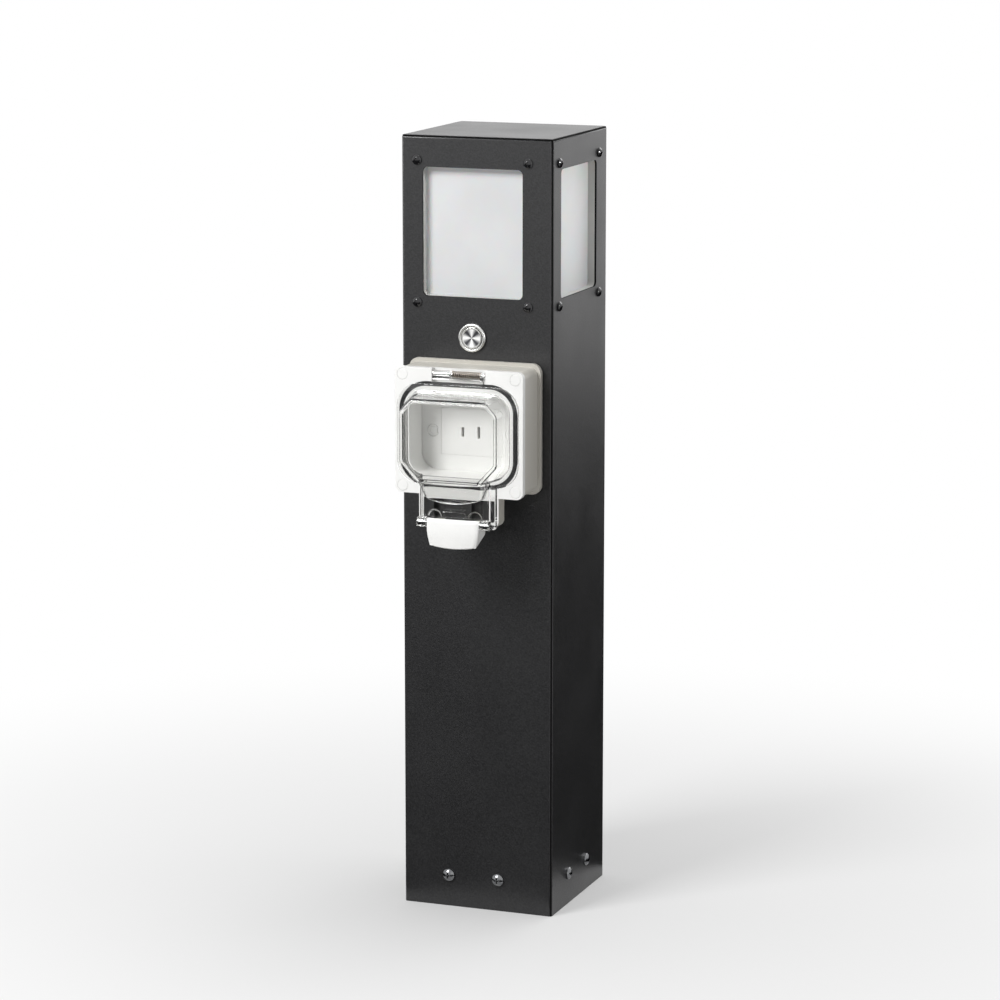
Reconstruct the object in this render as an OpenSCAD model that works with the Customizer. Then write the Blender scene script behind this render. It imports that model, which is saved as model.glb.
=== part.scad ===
// Garden socket post: a folded steel column with a lantern head, a push button and
// a covered two-slot socket box on its front face. Millimetres, +Z up, X to the
// right and the front face towards -Y. The origin is the centre of the foot.

/* [Column] */
// Width and depth of the square column
column_w = 120; // [112:1:150]
// Height of the column over its cap
column_h = 590; // [570:5:800]
// Thickness of the folded sheet
sheet_t = 1.5; // [1.2:0.1:2]
// Outer bend radius of the three folded corners
bend_r = 2.5; // [2.1:0.1:4]
// Width of the open joint at the near corner and under the cap
joint_gap = 1.3; // [1:0.05:1.4]
// Height of the cap's turned-down flanges
cap_flange_h = 10; // [6:0.5:12]
// Leg of the angle welded behind the corner joint
seam_leg = 11; // [6:0.5:12]

/* [Windows] */
// Width of a window cut-out
window_w = 79; // [60:1:82]
// Height of a window cut-out
window_h = 96; // [60:1:100]
// Corner radius of a window cut-out
window_r = 4; // [2:0.5:10]
// Distance from the top of the column down to a cut-out
window_top = 23.5; // [22:0.5:40]
// How far windows, button and foot screws lie left of each face's middle
face_shift = 3.5; // [0:0.1:4]
// Thickness of the grey spacer frame behind the sheet
spacer_t = 5.5; // [3:0.5:6]
// Thickness of the opal pane
pane_t = 3; // [2:0.5:4]
// How far spacer and pane reach past the cut-out
pane_lap = 9; // [8:0.25:9.5]
// Distance of a window screw from the cut-out's side
window_screw_side = 4.4; // [4:0.1:5]
// Distance of a window screw above or below the cut-out
window_screw_end = 5; // [4:0.1:5]
// Shank of a window screw
window_screw_d = 4; // [3:0.5:4]
// Head of a window screw
window_head_d = 7.3; // [6.5:0.1:8]

/* [Lamp] */
// Gap between the panes and the lamp shelf
shelf_gap = 5.5; // [4:0.5:10]
// Side of the square heat sink that carries the lamps
sink_w = 36; // [30:1:44]
// Width of a lamp board
board_w = 26; // [18:1:28]
// Lamps in each row up a board
chip_rows = 6; // [3:1:8]
// Side of one lamp chip
chip_w = 3; // [2:0.5:4]

/* [Button] */
// Distance from the cut-out's lower edge down to the button's centre
button_below = 29.9; // [28.5:0.1:34.5]
// Head of the button housing
button_head_d = 22; // [21:0.5:23]
// Pressed disc of the button
button_disc_d = 15.9; // [12:0.1:16]
// Barrel of the button housing
button_barrel_d = 18.8; // [18.4:0.1:19]
// How far the head stands off its seal
button_head_h = 2.2; // [1.5:0.1:3]
// Travel of the button
button_travel = 2; // [1:0.1:2.2]
// Clearance round the moving disc and stem
running_fit = 0.08; // [0.05:0.01:0.1]

/* [Socket box] */
// Distance from the button's centre down to the box's centre
box_below = 65.4; // [63:0.1:68.5]
// Width of the box frame
box_w = 101; // [100:0.5:106]
// Height of the box frame
box_h = 94.5; // [93.5:0.5:98]
// Distance from the column to the front of the frame
box_depth = 38; // [36:0.5:44]
// Depth of the frame's rim
frame_rim = 5; // [5:0.25:6]
// Wall of the box and its frame
box_wall = 2.5; // [2:0.1:3]
// Thickness of the gasket behind the box
box_gasket_t = 1; // [0.5:0.1:2]
// Distance of the frame screws from the frame's sides
frame_screw_side = 6; // [5.75:0.25:6.5]
// Distance of the frame screws from the frame's upper and lower edge
frame_screw_end = 5.5; // [5.25:0.25:5.75]
// Cap over each frame screw
cap_d = 8.5; // [7:0.1:8.6]
// Width of the frame beside the well that opens to the socket
well_side = 11.5; // [11:0.25:12.5]
// Width of the frame above and below the well, on average
well_end = 15.75; // [15.25:0.25:16.75]
// Corner radius of the well
well_r = 14; // [10:1:16]
// How far the well's centre lies below the box's centre
well_drop = 1.7; // [0.8:0.1:2.7]
// Width of the tongue under the frame
tongue_w = 63; // [60:0.5:66]
// How far the tongue hangs below the frame
tongue_l = 22.3; // [21:0.1:24]
// Depth of the tongue
tongue_t = 12; // [10:0.5:14]
// Radius of each cable groove in the tongue
cable_r = 4.6; // [3:0.1:5]
// Distance of a cable groove from the middle
cable_x = 15; // [12:0.5:16]

/* [Socket] */
// How far the socket's centre lies below the box's centre
socket_drop = 3.7; // [2.3:0.1:5]
// Distance from the column to the socket's face
socket_face = 12; // [11:0.5:14]
// Distance between the two plate screws
plate_pitch = 60.3; // [58:0.1:62]
// Width of the slotted insert
insert_w = 47; // [40:0.5:48]
// Height of the slotted insert
insert_h = 35; // [30:0.5:40]
// Distance between the two slots
slot_pitch = 12.7; // [12:0.1:14]
// Width of a slot
slot_w = 2; // [1.7:0.1:2.4]
// Height of the shorter slot
slot_short = 7; // [6:0.5:8]
// Height of the taller slot
slot_tall = 9; // [7:0.5:10]

/* [Cover] */
// How far the cover's flange reaches past the well at the sides
flange_side = 9; // [8:0.25:9.5]
// How far the flange reaches past the well at the top and bottom
flange_end = 6; // [5:0.25:6.5]
// Corner radius of the flange
flange_r = 18; // [16:0.5:20]
// Thickness of the flange
flange_t = 2.5; // [2:0.1:3]
// Wall of the clear dome
dome_wall = 2.2; // [1.8:0.1:2.6]
// How far the dome stands in front of the frame
dome_depth = 23; // [20:0.5:30]
// How far each side of the dome draws in towards its front
dome_draw_side = 3.5; // [2.5:0.25:5.5]
// How far its top and bottom draw in, on average
dome_draw_end = 1.5; // [0.5:0.25:2.5]
// Angle that the cover opens to
cover_open = 110; // [90:1:115]
// Distance from the frame's upper edge down to the hinge pin
hinge_drop = 4.15; // [3.9:0.05:4.4]
// Distance of the hinge pin behind the front of the frame
hinge_back = 2; // [1.9:0.05:2.1]
// Diameter of the hinge pin
hinge_pin_d = 2.4; // [2:0.1:2.6]
// Wire of the hinge spring
spring_wire = 0.8; // [0.5:0.1:0.9]
// Turns of the hinge spring
spring_turns = 14; // [6:1:16]

/* [Latch] */
// Width of the latch flap
latch_w = 41.4; // [38:0.2:42]
// How far the latch flap hangs below the tongue
latch_reach = 15.1; // [13:0.1:17]
// Height of the latch pin over the tongue's lower edge
latch_pin_up = 3.4; // [3:0.1:3.8]
// Diameter of the latch pin
latch_pin_d = 3; // [2.4:0.1:3.2]
// Thickness of the latch flap
latch_t = 2.2; // [1.8:0.1:2.6]

/* [Foot] */
// Thickness of the base plate
base_t = 3; // [2:0.5:5]
// Height of the upturned tabs
tab_h = 37; // [32:1:50]
// Width of the upturned tabs
tab_w = 58; // [52:1:64]
// Height of the foot screws
foot_screw_z = 24.4; // [18:0.1:28]
// Distance between the two foot screws of a face
foot_screw_pitch = 40; // [30:1:42]
// Shank of a foot screw
foot_screw_d = 5; // [4:0.5:5]
// Head of a foot screw
foot_head_d = 9.5; // [8:0.1:10]
// Distance between anchor holes
anchor_pitch = 76; // [70:1:80]
// Anchor hole
anchor_d = 10; // [8:0.5:11]
// Cable hole in the base plate
cable_hole_d = 26; // [20:1:28]

/* [Hidden] */

painted = "#3b3c3e";
zinc = "#b4b6b8";
steel = "#c4c6c8";
black = "#1c1c1e";
white = "#eeeeec";
shell_grey = "#b3afa6";
opal = "#e6e8ea";
clear = "#cfd6da88";
brass = "#c9a75a";

round_fn = 64;
hole_fn = 40;
soft_fn = 32;
cut = 0.5;
fit = 0.15;
loose = 0.3;
half_w = column_w / 2;
inner = half_w - sheet_t;

// Faces are numbered from the front anticlockwise as seen from above.
front = 0;
right = 1;
rear = 2;
left = 3;

window_z = column_h - window_top - window_h / 2;
button_z = window_z - window_h / 2 - button_below;
box_z = button_z - box_below;
well_z = box_z - well_drop;
socket_z = box_z - socket_drop;
hinge_z = box_z + box_h / 2 - hinge_drop;
tongue_bottom = box_z - box_h / 2 - tongue_l;
latch_bottom = tongue_bottom - latch_reach;
latch_z = tongue_bottom + latch_pin_up;
pane_w = window_w + 2 * pane_lap;
pane_h = window_h + 2 * pane_lap;
screw_dx = window_w / 2 + window_screw_side;
screw_dz = window_h / 2 + window_screw_end;
window_nut_h = 3.2;
window_nut_af = 7;
pane_back = sheet_t + spacer_t + pane_t;

shelf_t = 1.5;
shelf_flange = 12;
shelf_flange_w = 80;
shelf_top = window_z - pane_h / 2 - shelf_gap + shelf_t;
shelf_bottom = shelf_top - shelf_t;
sink_h = column_h - sheet_t - shelf_top - cap_flange_h - loose;
sink_bore = 20;
sink_screw_x = 14;
board_t = 1.6;
board_up = 8;
board_h = sink_h - 2 * board_up;
chip_t = 0.8;
chip_dx = 7;
driver = [58, 30, 20];
driver_y = 22;
driver_ear = 8;
driver_ear_t = 2;

button_seal_t = 0.5;
button_web = -12;
button_body = -20;
button_body_l = 14;
button_disc_low = -6;
button_stem_d = 8;
button_nut_af = 22;
button_nut_h = 3;

box_back_r = 7;
frame_screw_w = box_w - 2 * frame_screw_side;
frame_screw_h = box_h - 2 * frame_screw_end;
well_w = box_w - 2 * well_side;
well_h = box_h - 2 * well_end;
box_flange_w = box_w + 3.5;
box_flange_h = box_h + 3.5;
box_flange_t = 5;
box_body_w = box_w - 1.4;
box_body_h = box_h - 1.4;
box_body_r = 5.5;
box_front = box_depth - frame_rim;
box_corner_r = 5;
socket_cut_w = 54;
socket_cut_h = 50;
box_screw_x = 33;
box_screw_dz = 28;
box_screw_d = 4;

plate_w = well_w + 4;
plate_h = well_h + 9;
plate_r = 8;
plate_t = 5;
housing_w = 50;
housing_h = 44;
housing_l = 28;
insert_t = 7;

seal_gap = 4.2;
seal_w = 3.3;
seal_t = 1.4;
seal_depth = 1.2;

flange_w = well_w + 2 * flange_side;
flange_h = well_h + 2 * flange_end;
dome_foot_w = well_w + 5;
dome_foot_h = well_h + 2;
dome_front_w = dome_foot_w - 2 * dome_draw_side;
dome_front_h = dome_foot_h - 2 * dome_draw_end;
cover_back = box_depth + 0.4;
cover_face = box_depth + dome_depth;
hinge_out = box_depth - hinge_back;
hinge_half = 21.2;
knuckle_r = 2.6;
spring_r = 2.15;
spring_from = -6.2;
spring_pitch = 1.62;
knuckle_left = [-20.7, -6.6];
knuckle_right = [spring_from + spring_turns * spring_pitch + 0.9, 20.7];

tray_w = 61;
tray_front_w = 54;
tray_depth = 7;
tray_bottom = tongue_bottom - 1.1;
tray_top = well_z - well_h / 2 - 1;
tray_bars = [[tongue_bottom + 14.4, 2.4], [tongue_bottom + 9.4, 4.4]];
tray_bar_w = 19;
tray_rib = 0.5;
tray_arch_x = 16;
tray_arch_z = tongue_bottom + 7.4;
tray_arch_r = 5;
hood_bottom = tongue_bottom + 18.9;
hood_r = 60;
hood_top_w = 50;
hood_low_w = 36;
hood_low_out = 14;

latch_out = cover_back + 10.2;
latch_top = latch_z + 3.4;
latch_face = latch_out + 4.4;
latch_curve = 140;
latch_low_r = 140;
ear_r = 3.6;
ear_l = 7;

tab_t = 3;
foot_screw_l = 14;
rivnut_d = 7;
rivnut_l = 9;
tab_out = -sheet_t - fit;

lead_r = 1.3;
block = [48, 20, 20];
block_y = 31;
block_pitch = 14;
block_entry_z = 6;
terminal_x = 17;

// Places its children on a face: x to the right, y up, z outwards from the sheet.
module on_face(k = front) {
    rotate([0, 0, 90 * k])
        translate([0, -half_w, 0])
            rotate([90, 0, 0])
                children();
}

// Rounded rectangle with true arcs.
module round_rect(w, h, r) {
    square([w - 2 * r, h], center = true);
    square([w, h - 2 * r], center = true);
    for (sx = [-1, 1], sy = [-1, 1])
        translate([sx * (w / 2 - r), sy * (h / 2 - r)])
            circle(r = r, $fn = round_fn);
}

// Plate with rounded corners from z0 to z1 on a face, centred at height zc.
module plate_on(w, h, r, z0, z1, zc = 0, xc = 0) {
    translate([xc, zc, z0])
        linear_extrude(z1 - z0)
            round_rect(w, h, r);
}

module frame_on(w, h, r, wall, z0, z1, zc = 0) {
    translate([0, zc, z0])
        linear_extrude(z1 - z0)
            difference() {
                round_rect(w, h, r);
                round_rect(w - 2 * wall, h - 2 * wall, r - wall);
            }
}

module block_on(x0, x1, y0, y1, z0, z1) {
    translate([x0, y0, z0])
        cube([x1 - x0, y1 - y0, z1 - z0]);
}

module hole(d, z0, z1) {
    translate([0, 0, z0])
        cylinder(d = d, h = z1 - z0, $fn = hole_fn);
}

// Ring from z0 to z1 round the z axis.
module ring(d_out, d_in, z0, z1) {
    translate([0, 0, z0])
        difference() {
            cylinder(d = d_out, h = z1 - z0, $fn = round_fn);
            translate([0, 0, -cut])
                cylinder(d = d_in, h = z1 - z0 + 2 * cut, $fn = round_fn);
        }
}

// Pan-head screw with a cross recess; its head sits on z = 0.
module pan_screw(d, head_d, head_h, shank) {
    rise = 0.62 * head_h;
    crown = (head_d * head_d / 4 + rise * rise) / (2 * rise);
    arm = 0.5 * head_d;
    arm_t = 0.13 * head_d;
    difference() {
        union() {
            intersection() {
                translate([0, 0, head_h - crown])
                    sphere(r = crown, $fn = round_fn);
                cylinder(d = head_d, h = head_h, $fn = hole_fn);
            }
            translate([0, 0, -shank])
                cylinder(d = d, h = shank + 0.2, $fn = hole_fn);
        }
        for (a = [0, 90])
            rotate([0, 0, a])
                translate([-arm / 2, -arm_t / 2, 0.4 * head_h])
                    cube([arm, arm_t, head_h]);
    }
}

module hex_nut(af, bore, h) {
    difference() {
        cylinder(d = af / cos(30), h = h, $fn = 6);
        hole(bore, -cut, h + cut);
    }
}

module at_window_screws() {
    for (sx = [-1, 1], sz = [-1, 1])
        translate([-face_shift + sx * screw_dx, window_z + sz * screw_dz, 0])
            children();
}

module at_foot_screws() {
    for (s = [-1, 1])
        translate([-face_shift + s * foot_screw_pitch / 2, foot_screw_z, 0])
            children();
}

module at_frame_screws() {
    for (sx = [-1, 1], sz = [-1, 1])
        translate([sx * frame_screw_w / 2, box_z + sz * frame_screw_h / 2, 0])
            children();
}

module at_box_screws() {
    for (sx = [-1, 1], sz = [-1, 1])
        translate([sx * box_screw_x, socket_z + sz * box_screw_dz, 0])
            children();
}

module at_plate_screws() {
    for (s = [-1, 1])
        translate([s * plate_pitch / 2, socket_z, 0])
            children();
}

module at_button() {
    on_face(front)
        translate([-face_shift, button_z, 0])
            children();
}

// Square outline with three bent corners and one sharp corner at the front right.
module column_outline(half, r) {
    square([2 * (half - r), 2 * half], center = true);
    square([2 * half, 2 * (half - r)], center = true);
    for (s = [[-1, -1], [-1, 1], [1, 1]])
        translate([s[0] * (half - r), s[1] * (half - r)])
            circle(r = r, $fn = round_fn);
    translate([half - r, -half])
        square([r, r]);
}

// Folded sheet column with its openings and fixing holes.
module column_shell() {
    color(painted)
        difference() {
            linear_extrude(column_h - joint_gap)
                difference() {
                    column_outline(half_w, bend_r);
                    column_outline(inner, bend_r - sheet_t);
                    translate([half_w - joint_gap, -half_w - cut])
                        square([joint_gap + cut, joint_gap + cut]);
                }
            for (k = [front, right, rear, left])
                on_face(k) {
                    plate_on(window_w, window_h, window_r, -sheet_t - cut, cut,
                        window_z, -face_shift);
                    at_window_screws()
                        hole(window_screw_d + 0.4, -sheet_t - cut, cut);
                    at_foot_screws()
                        hole(foot_screw_d + 0.4, -sheet_t - cut, cut);
                }
            at_button()
                hole(button_barrel_d + 0.3, -sheet_t - cut, cut);
            on_face(front) {
                plate_on(socket_cut_w, socket_cut_h, 3, -sheet_t - cut, cut, socket_z);
                at_box_screws()
                    hole(box_screw_d + 0.4, -sheet_t - cut, cut);
            }
        }
}

// Angle welded behind the open corner joint, from the foot to the windows.
module seam_angle() {
    low = base_t + 2;
    high = window_z - pane_h / 2 - 2;
    color(painted)
        translate([0, 0, low])
            linear_extrude(high - low)
                difference() {
                    translate([inner - seam_leg, -inner])
                        square([seam_leg, seam_leg]);
                    translate([inner - seam_leg - cut, -inner + sheet_t])
                        square([seam_leg + cut - sheet_t, seam_leg]);
                }
}

// Black sealant bead up the corner joint and round the edge of the cap.
module joint_sealant() {
    back = 0.35;
    color(black) {
        translate([half_w - joint_gap, -half_w + back, 0])
            cube([joint_gap - back, joint_gap - back, column_h - joint_gap]);
        translate([0, 0, column_h - joint_gap])
            linear_extrude(joint_gap - back)
                difference() {
                    column_outline(half_w - back, bend_r - back);
                    column_outline(inner - fit, bend_r - sheet_t);
                }
    }
}

// Cap plate let in between the walls, with turned-down flanges.
module cap_plate() {
    half = inner - fit;
    color(painted) {
        difference() {
            translate([0, 0, column_h - sheet_t - cap_flange_h])
                linear_extrude(sheet_t + cap_flange_h)
                    column_outline(half, bend_r - sheet_t);
            translate([-half + sheet_t, -half + sheet_t, column_h - sheet_t - cap_flange_h - cut])
                cube([2 * (half - sheet_t), 2 * (half - sheet_t), cap_flange_h + cut]);
            for (sx = [-1, 1], sy = [-1, 1])
                translate([sx * half - 3, sy * half - 3, column_h - sheet_t - cap_flange_h - cut])
                    cube([6, 6, cap_flange_h + cut]);
        }
    }
}

// Base plate with four upturned tabs, anchor holes and the cable hole.
module base_plate() {
    half = inner - fit;
    color(zinc)
        difference() {
            union() {
                linear_extrude(base_t)
                    column_outline(half, bend_r - sheet_t);
                for (k = [front, right, rear, left])
                    on_face(k)
                        block_on(-face_shift - tab_w / 2, -face_shift + tab_w / 2,
                            base_t - cut, base_t + tab_h, tab_out - tab_t, tab_out);
            }
            for (k = [front, right, rear, left])
                on_face(k)
                    at_foot_screws()
                        hole(rivnut_d + 0.1, tab_out - tab_t - cut, tab_out + cut);
            for (sx = [-1, 1], sy = [-1, 1])
                translate([sx * anchor_pitch / 2, sy * anchor_pitch / 2, 0])
                    hole(anchor_d, -cut, base_t + cut);
            hole(cable_hole_d, -cut, base_t + cut);
            translate([-anchor_pitch / 2, 0, 0])
                hole(6, -cut, base_t + cut);
        }
}

// Rivet nuts set in the tabs.
module base_rivnuts() {
    color(steel)
        for (k = [front, right, rear, left])
            on_face(k)
                at_foot_screws()
                    difference() {
                        union() {
                            hole(rivnut_d, tab_out - rivnut_l, tab_out);
                            hole(rivnut_d + 2.4, tab_out - tab_t - 2, tab_out - tab_t);
                        }
                        hole(foot_screw_d + 0.1, tab_out - rivnut_l - cut, tab_out + cut);
                    }
}

// Stainless pan-head screws that hold the column on its foot.
module base_screws() {
    color(steel)
        for (k = [front, right, rear, left])
            on_face(k)
                at_foot_screws()
                    pan_screw(foot_screw_d, foot_head_d, 0.36 * foot_head_d, foot_screw_l);
}

// Rubber bush in the cable hole of the foot.
module cable_grommet() {
    color(black)
        difference() {
            union() {
                hole(cable_hole_d - 0.1, 0, base_t + 0.5);
                hole(cable_hole_d + 5, base_t, base_t + 2.5);
            }
            hole(cable_hole_d - 5, -cut, base_t + 3);
        }
}

// Three-way terminal block on the foot.
module terminal_block() {
    color(white)
        translate([0, block_y, base_t])
            difference() {
                union() {
                    translate([-block[0] / 2, -block[1] / 2, 0])
                        cube([block[0], block[1], block[2] - 4]);
                    for (i = [-1, 0, 1])
                        translate([i * block_pitch - 6, -block[1] / 2, 0])
                            cube([12, block[1], block[2]]);
                }
                for (i = [-1, 0, 1], s = [-1, 1]) {
                    translate([i * block_pitch, s * 5, 0])
                        hole(5, block[2] - 6, block[2] + cut);
                    translate([i * block_pitch, s * (block[1] / 2), block_entry_z])
                        rotate([90, 0, 0])
                            hole(4, -6, 6);
                }
            }
}

// Clamp screws of the terminal block.
module terminal_screws() {
    color(steel)
        translate([0, block_y, base_t + block[2] - 6])
            for (i = [-1, 0, 1], s = [-1, 1])
                translate([i * block_pitch, s * 5, 0])
                    difference() {
                        hole(4.4, 0, 3);
                        translate([-3, -0.4, 2])
                            cube([6, 0.8, 2]);
                    }
}

// Earth stud with washer and nut on the foot.
module earth_stud() {
    color(brass)
        translate([-anchor_pitch / 2, 0, 0]) {
            hole(5.9, 0, base_t + 14);
            translate([0, 0, base_t]) {
                ring(12, 5.9, 0, 1);
                translate([0, 0, 1])
                    hex_nut(10, 5.9, 4);
            }
        }
}

// Grey spacer frame between the sheet and the opal pane.
module window_spacer(k) {
    color(shell_grey)
        on_face(k)
            difference() {
                plate_on(pane_w, pane_h, 3, -sheet_t - spacer_t, -sheet_t,
                    window_z, -face_shift);
                plate_on(window_w, window_h, window_r, -pane_back, cut,
                    window_z, -face_shift);
                at_window_screws()
                    hole(window_screw_d + 0.4, -pane_back, cut);
            }
}

module window_spacer_front() { window_spacer(front); }
module window_spacer_right() { window_spacer(right); }
module window_spacer_rear() { window_spacer(rear); }
module window_spacer_left() { window_spacer(left); }

// Opal pane behind a window.
module diffuser(k) {
    color(opal)
        on_face(k)
            difference() {
                plate_on(pane_w, pane_h, 3, -pane_back, -pane_back + pane_t,
                    window_z, -face_shift);
                at_window_screws()
                    hole(window_screw_d + 0.4, -pane_back - cut, cut);
            }
}

module diffuser_front() { diffuser(front); }
module diffuser_right() { diffuser(right); }
module diffuser_rear() { diffuser(rear); }
module diffuser_left() { diffuser(left); }

// Black pan-head screws round the windows.
module window_screws() {
    color(black)
        for (k = [front, right, rear, left])
            on_face(k)
                at_window_screws()
                    pan_screw(window_screw_d, window_head_d, 0.38 * window_head_d,
                        pane_back + window_nut_h + 1);
}

// Nuts behind the opal panes.
module window_nuts() {
    color(steel)
        for (k = [front, right, rear, left])
            on_face(k)
                at_window_screws()
                    translate([0, 0, -pane_back - window_nut_h])
                        hex_nut(window_nut_af, window_screw_d + 0.1, window_nut_h);
}

// Shelf that carries the lamp above and its driver below.
module lamp_shelf() {
    half = inner - fit;
    color(zinc)
        difference() {
            union() {
                translate([0, 0, shelf_bottom])
                    linear_extrude(shelf_t)
                        column_outline(half, bend_r - sheet_t);
                for (k = [right, rear, left])
                    on_face(k)
                        block_on(-shelf_flange_w / 2, shelf_flange_w / 2, shelf_bottom - shelf_flange, shelf_bottom + cut,
                            tab_out - shelf_t, tab_out);
            }
            translate([inner - seam_leg - loose, -half - cut, shelf_bottom - cut])
                cube([seam_leg + 1, seam_leg + 1, shelf_t + 2 * cut]);
            hole(12, shelf_bottom - cut, shelf_top + cut);
            for (s = [-1, 1])
                translate([s * sink_screw_x, 0, 0])
                    hole(4.4, shelf_bottom - cut, shelf_top + cut);
            for (s = [-1, 1])
                translate([s * (driver[0] / 2 - driver_ear / 2), driver_y, 0])
                    hole(3.4, shelf_bottom - cut, shelf_top + cut);
        }
}

// Extruded aluminium post that carries the lamp boards.
module led_heat_sink() {
    color(steel)
        translate([0, 0, shelf_top])
            linear_extrude(sink_h)
                difference() {
                    square(sink_w, center = true);
                    circle(d = sink_bore, $fn = round_fn);
                    for (s = [-1, 1])
                        translate([s * sink_screw_x, 0])
                            circle(d = 3.6, $fn = hole_fn);
                    for (a = [45, 135, 225, 315])
                        rotate([0, 0, a])
                            translate([sink_w / 2 + 3.5, 0])
                                square([8, 3], center = true);
                }
}

module on_sink(k) {
    rotate([0, 0, 90 * k])
        translate([0, -sink_w / 2, shelf_top + board_up])
            rotate([90, 0, 0])
                children();
}

// Four lamp boards on the post.
module led_boards() {
    color(white)
        for (k = [front, right, rear, left])
            on_sink(k)
                translate([-board_w / 2, 0, 0])
                    cube([board_w, board_h, board_t]);
}

// Lamp chips in two columns up each board.
module led_chips() {
    step = board_h / chip_rows;
    color("#f2d871")
        for (k = [front, right, rear, left])
            on_sink(k)
                for (i = [0 : chip_rows - 1], s = [-1, 1])
                    translate([s * chip_dx - chip_w / 2, (i + 0.5) * step - chip_w / 2, board_t])
                        cube([chip_w, chip_w, chip_t]);
}

// Screws that hold the post on the shelf.
module lamp_screws() {
    color(steel)
        for (s = [-1, 1])
            translate([s * sink_screw_x, 0, shelf_bottom])
                mirror([0, 0, 1])
                    pan_screw(3.5, 6.5, 2.4, 14);
}

// Lamp driver with its two fixing ears, under the shelf.
module led_driver() {
    body_w = driver[0] - 2 * driver_ear;
    color(white)
        translate([0, driver_y, shelf_bottom])
            difference() {
                union() {
                    translate([-body_w / 2, -driver[1] / 2, -driver[2]])
                        cube([body_w, driver[1], driver[2]]);
                    translate([-driver[0] / 2, -5, -driver_ear_t])
                        cube([driver[0], 10, driver_ear_t]);
                }
                for (s = [-1, 1])
                    translate([s * (driver[0] / 2 - driver_ear / 2), 0, 0])
                        hole(3.4, -driver_ear_t - cut, cut);
            }
}

// Screws of the driver.
module driver_screws() {
    color(steel)
        for (s = [-1, 1])
            translate([s * (driver[0] / 2 - driver_ear / 2), driver_y,
                    shelf_bottom - driver_ear_t])
                mirror([0, 0, 1])
                    pan_screw(3, 5.6, 2, 6);
}

// Turned button housing: head, barrel and the web that guides the stem.
module button_bezel() {
    head_r = button_head_d / 2;
    bore_r = button_disc_d / 2 + running_fit;
    barrel_r = button_barrel_d / 2;
    low = button_seal_t;
    high = button_seal_t + button_head_h;
    color(steel)
        at_button()
            rotate_extrude($fn = round_fn)
                polygon([
                    [bore_r, button_web], [bore_r, high - 0.5],
                    [bore_r + 0.5, high], [head_r - 0.9, high],
                    [head_r, high - 0.9], [head_r, low],
                    [barrel_r, low], [barrel_r, button_body],
                    [barrel_r - 2, button_body], [barrel_r - 2, button_web - 2],
                    [button_stem_d / 2 + running_fit, button_web - 2],
                    [button_stem_d / 2 + running_fit, button_web]]);
}

// Pressed disc and stem of the button.
module button_plunger() {
    disc_r = button_disc_d / 2;
    high = button_seal_t + button_head_h - 0.3;
    color(steel)
        at_button()
            rotate_extrude($fn = round_fn)
                polygon([
                    [0, button_web - 2.8], [button_stem_d / 2, button_web - 2.8],
                    [button_stem_d / 2, button_disc_low], [disc_r, button_disc_low],
                    [disc_r, high - 0.4], [disc_r - 0.4, high], [0, high]]);
}

// Flat rubber seal under the button's head.
module button_seal() {
    color(black)
        at_button()
            ring(button_head_d - 0.6, button_barrel_d + 0.1, 0, button_seal_t);
}

// Hexagon nut behind the sheet.
module button_nut() {
    color(steel)
        at_button()
            translate([0, 0, -sheet_t - button_nut_h])
                hex_nut(button_nut_af, button_barrel_d + 0.1, button_nut_h);
}

// Switch block behind the button's barrel.
module button_switch() {
    flat = button_barrel_d - 2.5;
    color(black)
        at_button()
            intersection() {
                hole(button_barrel_d, button_body - button_body_l, button_body);
                translate([-button_barrel_d, -flat / 2, button_body - button_body_l])
                    cube([2 * button_barrel_d, flat, button_body_l]);
            }
}

// Four blade terminals of the switch.
module button_terminals() {
    color(brass)
        at_button()
            for (sx = [-1, 1], sy = [-1, 1])
                translate([sx * 4.5 - 1.4, sy * 4 - 0.25, button_body - button_body_l - 6])
                    cube([2.8, 0.5, 6]);
}

// Points of a round section at angle a round a helix along z.
function helix_ring(r, wire, pitch, a, sides) =
    let (slope = atan2(pitch, 360 * r * PI / 180))
    [for (i = [0 : sides - 1])
        let (b = 360 * i / sides,
            radial = r + wire / 2 * cos(b),
            across = wire / 2 * sin(b))
        [radial * cos(a) + across * sin(slope) * sin(a),
            radial * sin(a) - across * sin(slope) * cos(a),
            pitch * a / 360 + across * cos(slope)]];

// Closed skin over rings of equal count.
function skin_faces(rings, sides) = concat(
    [[for (i = [0 : sides - 1]) sides - 1 - i]],
    [for (k = [0 : rings - 2], i = [0 : sides - 1])
        let (a = k * sides + i, b = k * sides + (i + 1) % sides)
        [a, b, b + sides]],
    [for (k = [0 : rings - 2], i = [0 : sides - 1])
        let (a = k * sides + i, b = k * sides + (i + 1) % sides)
        [a, b + sides, a + sides]],
    [[for (i = [0 : sides - 1]) (rings - 1) * sides + i]]);

// Coil spring along z with its first turn at z = 0; round wire, open turns.
module coil(r, wire, pitch, turns) {
    sides = 6;
    per_turn = 8;
    steps = turns * per_turn;
    points = [for (k = [0 : steps])
        each helix_ring(r, wire, pitch, 360 * k / per_turn, sides)];
    middle = [for (k = [0 : steps])
        [r * cos(360 * k / per_turn), r * sin(360 * k / per_turn), pitch * k / per_turn]];
    echo(least_gap_of_coil = min([for (k = [0 : steps - per_turn], j = [k + per_turn / 2 : steps])
        norm(middle[j] - middle[k]) - wire]));
    polyhedron(points, skin_faces(steps + 1, sides), convexity = 10);
}

// Return spring under the pressed disc, seated on the web.
module button_spring() {
    wire = 0.5;
    turns = 3;
    room = button_disc_low - button_travel - loose - button_web;
    color(steel)
        at_button()
            translate([0, 0, button_web + wire / 2 + 0.05])
                coil(button_stem_d / 2 + 1.6, wire, (room - wire - 0.1) / turns, turns);
}

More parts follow.
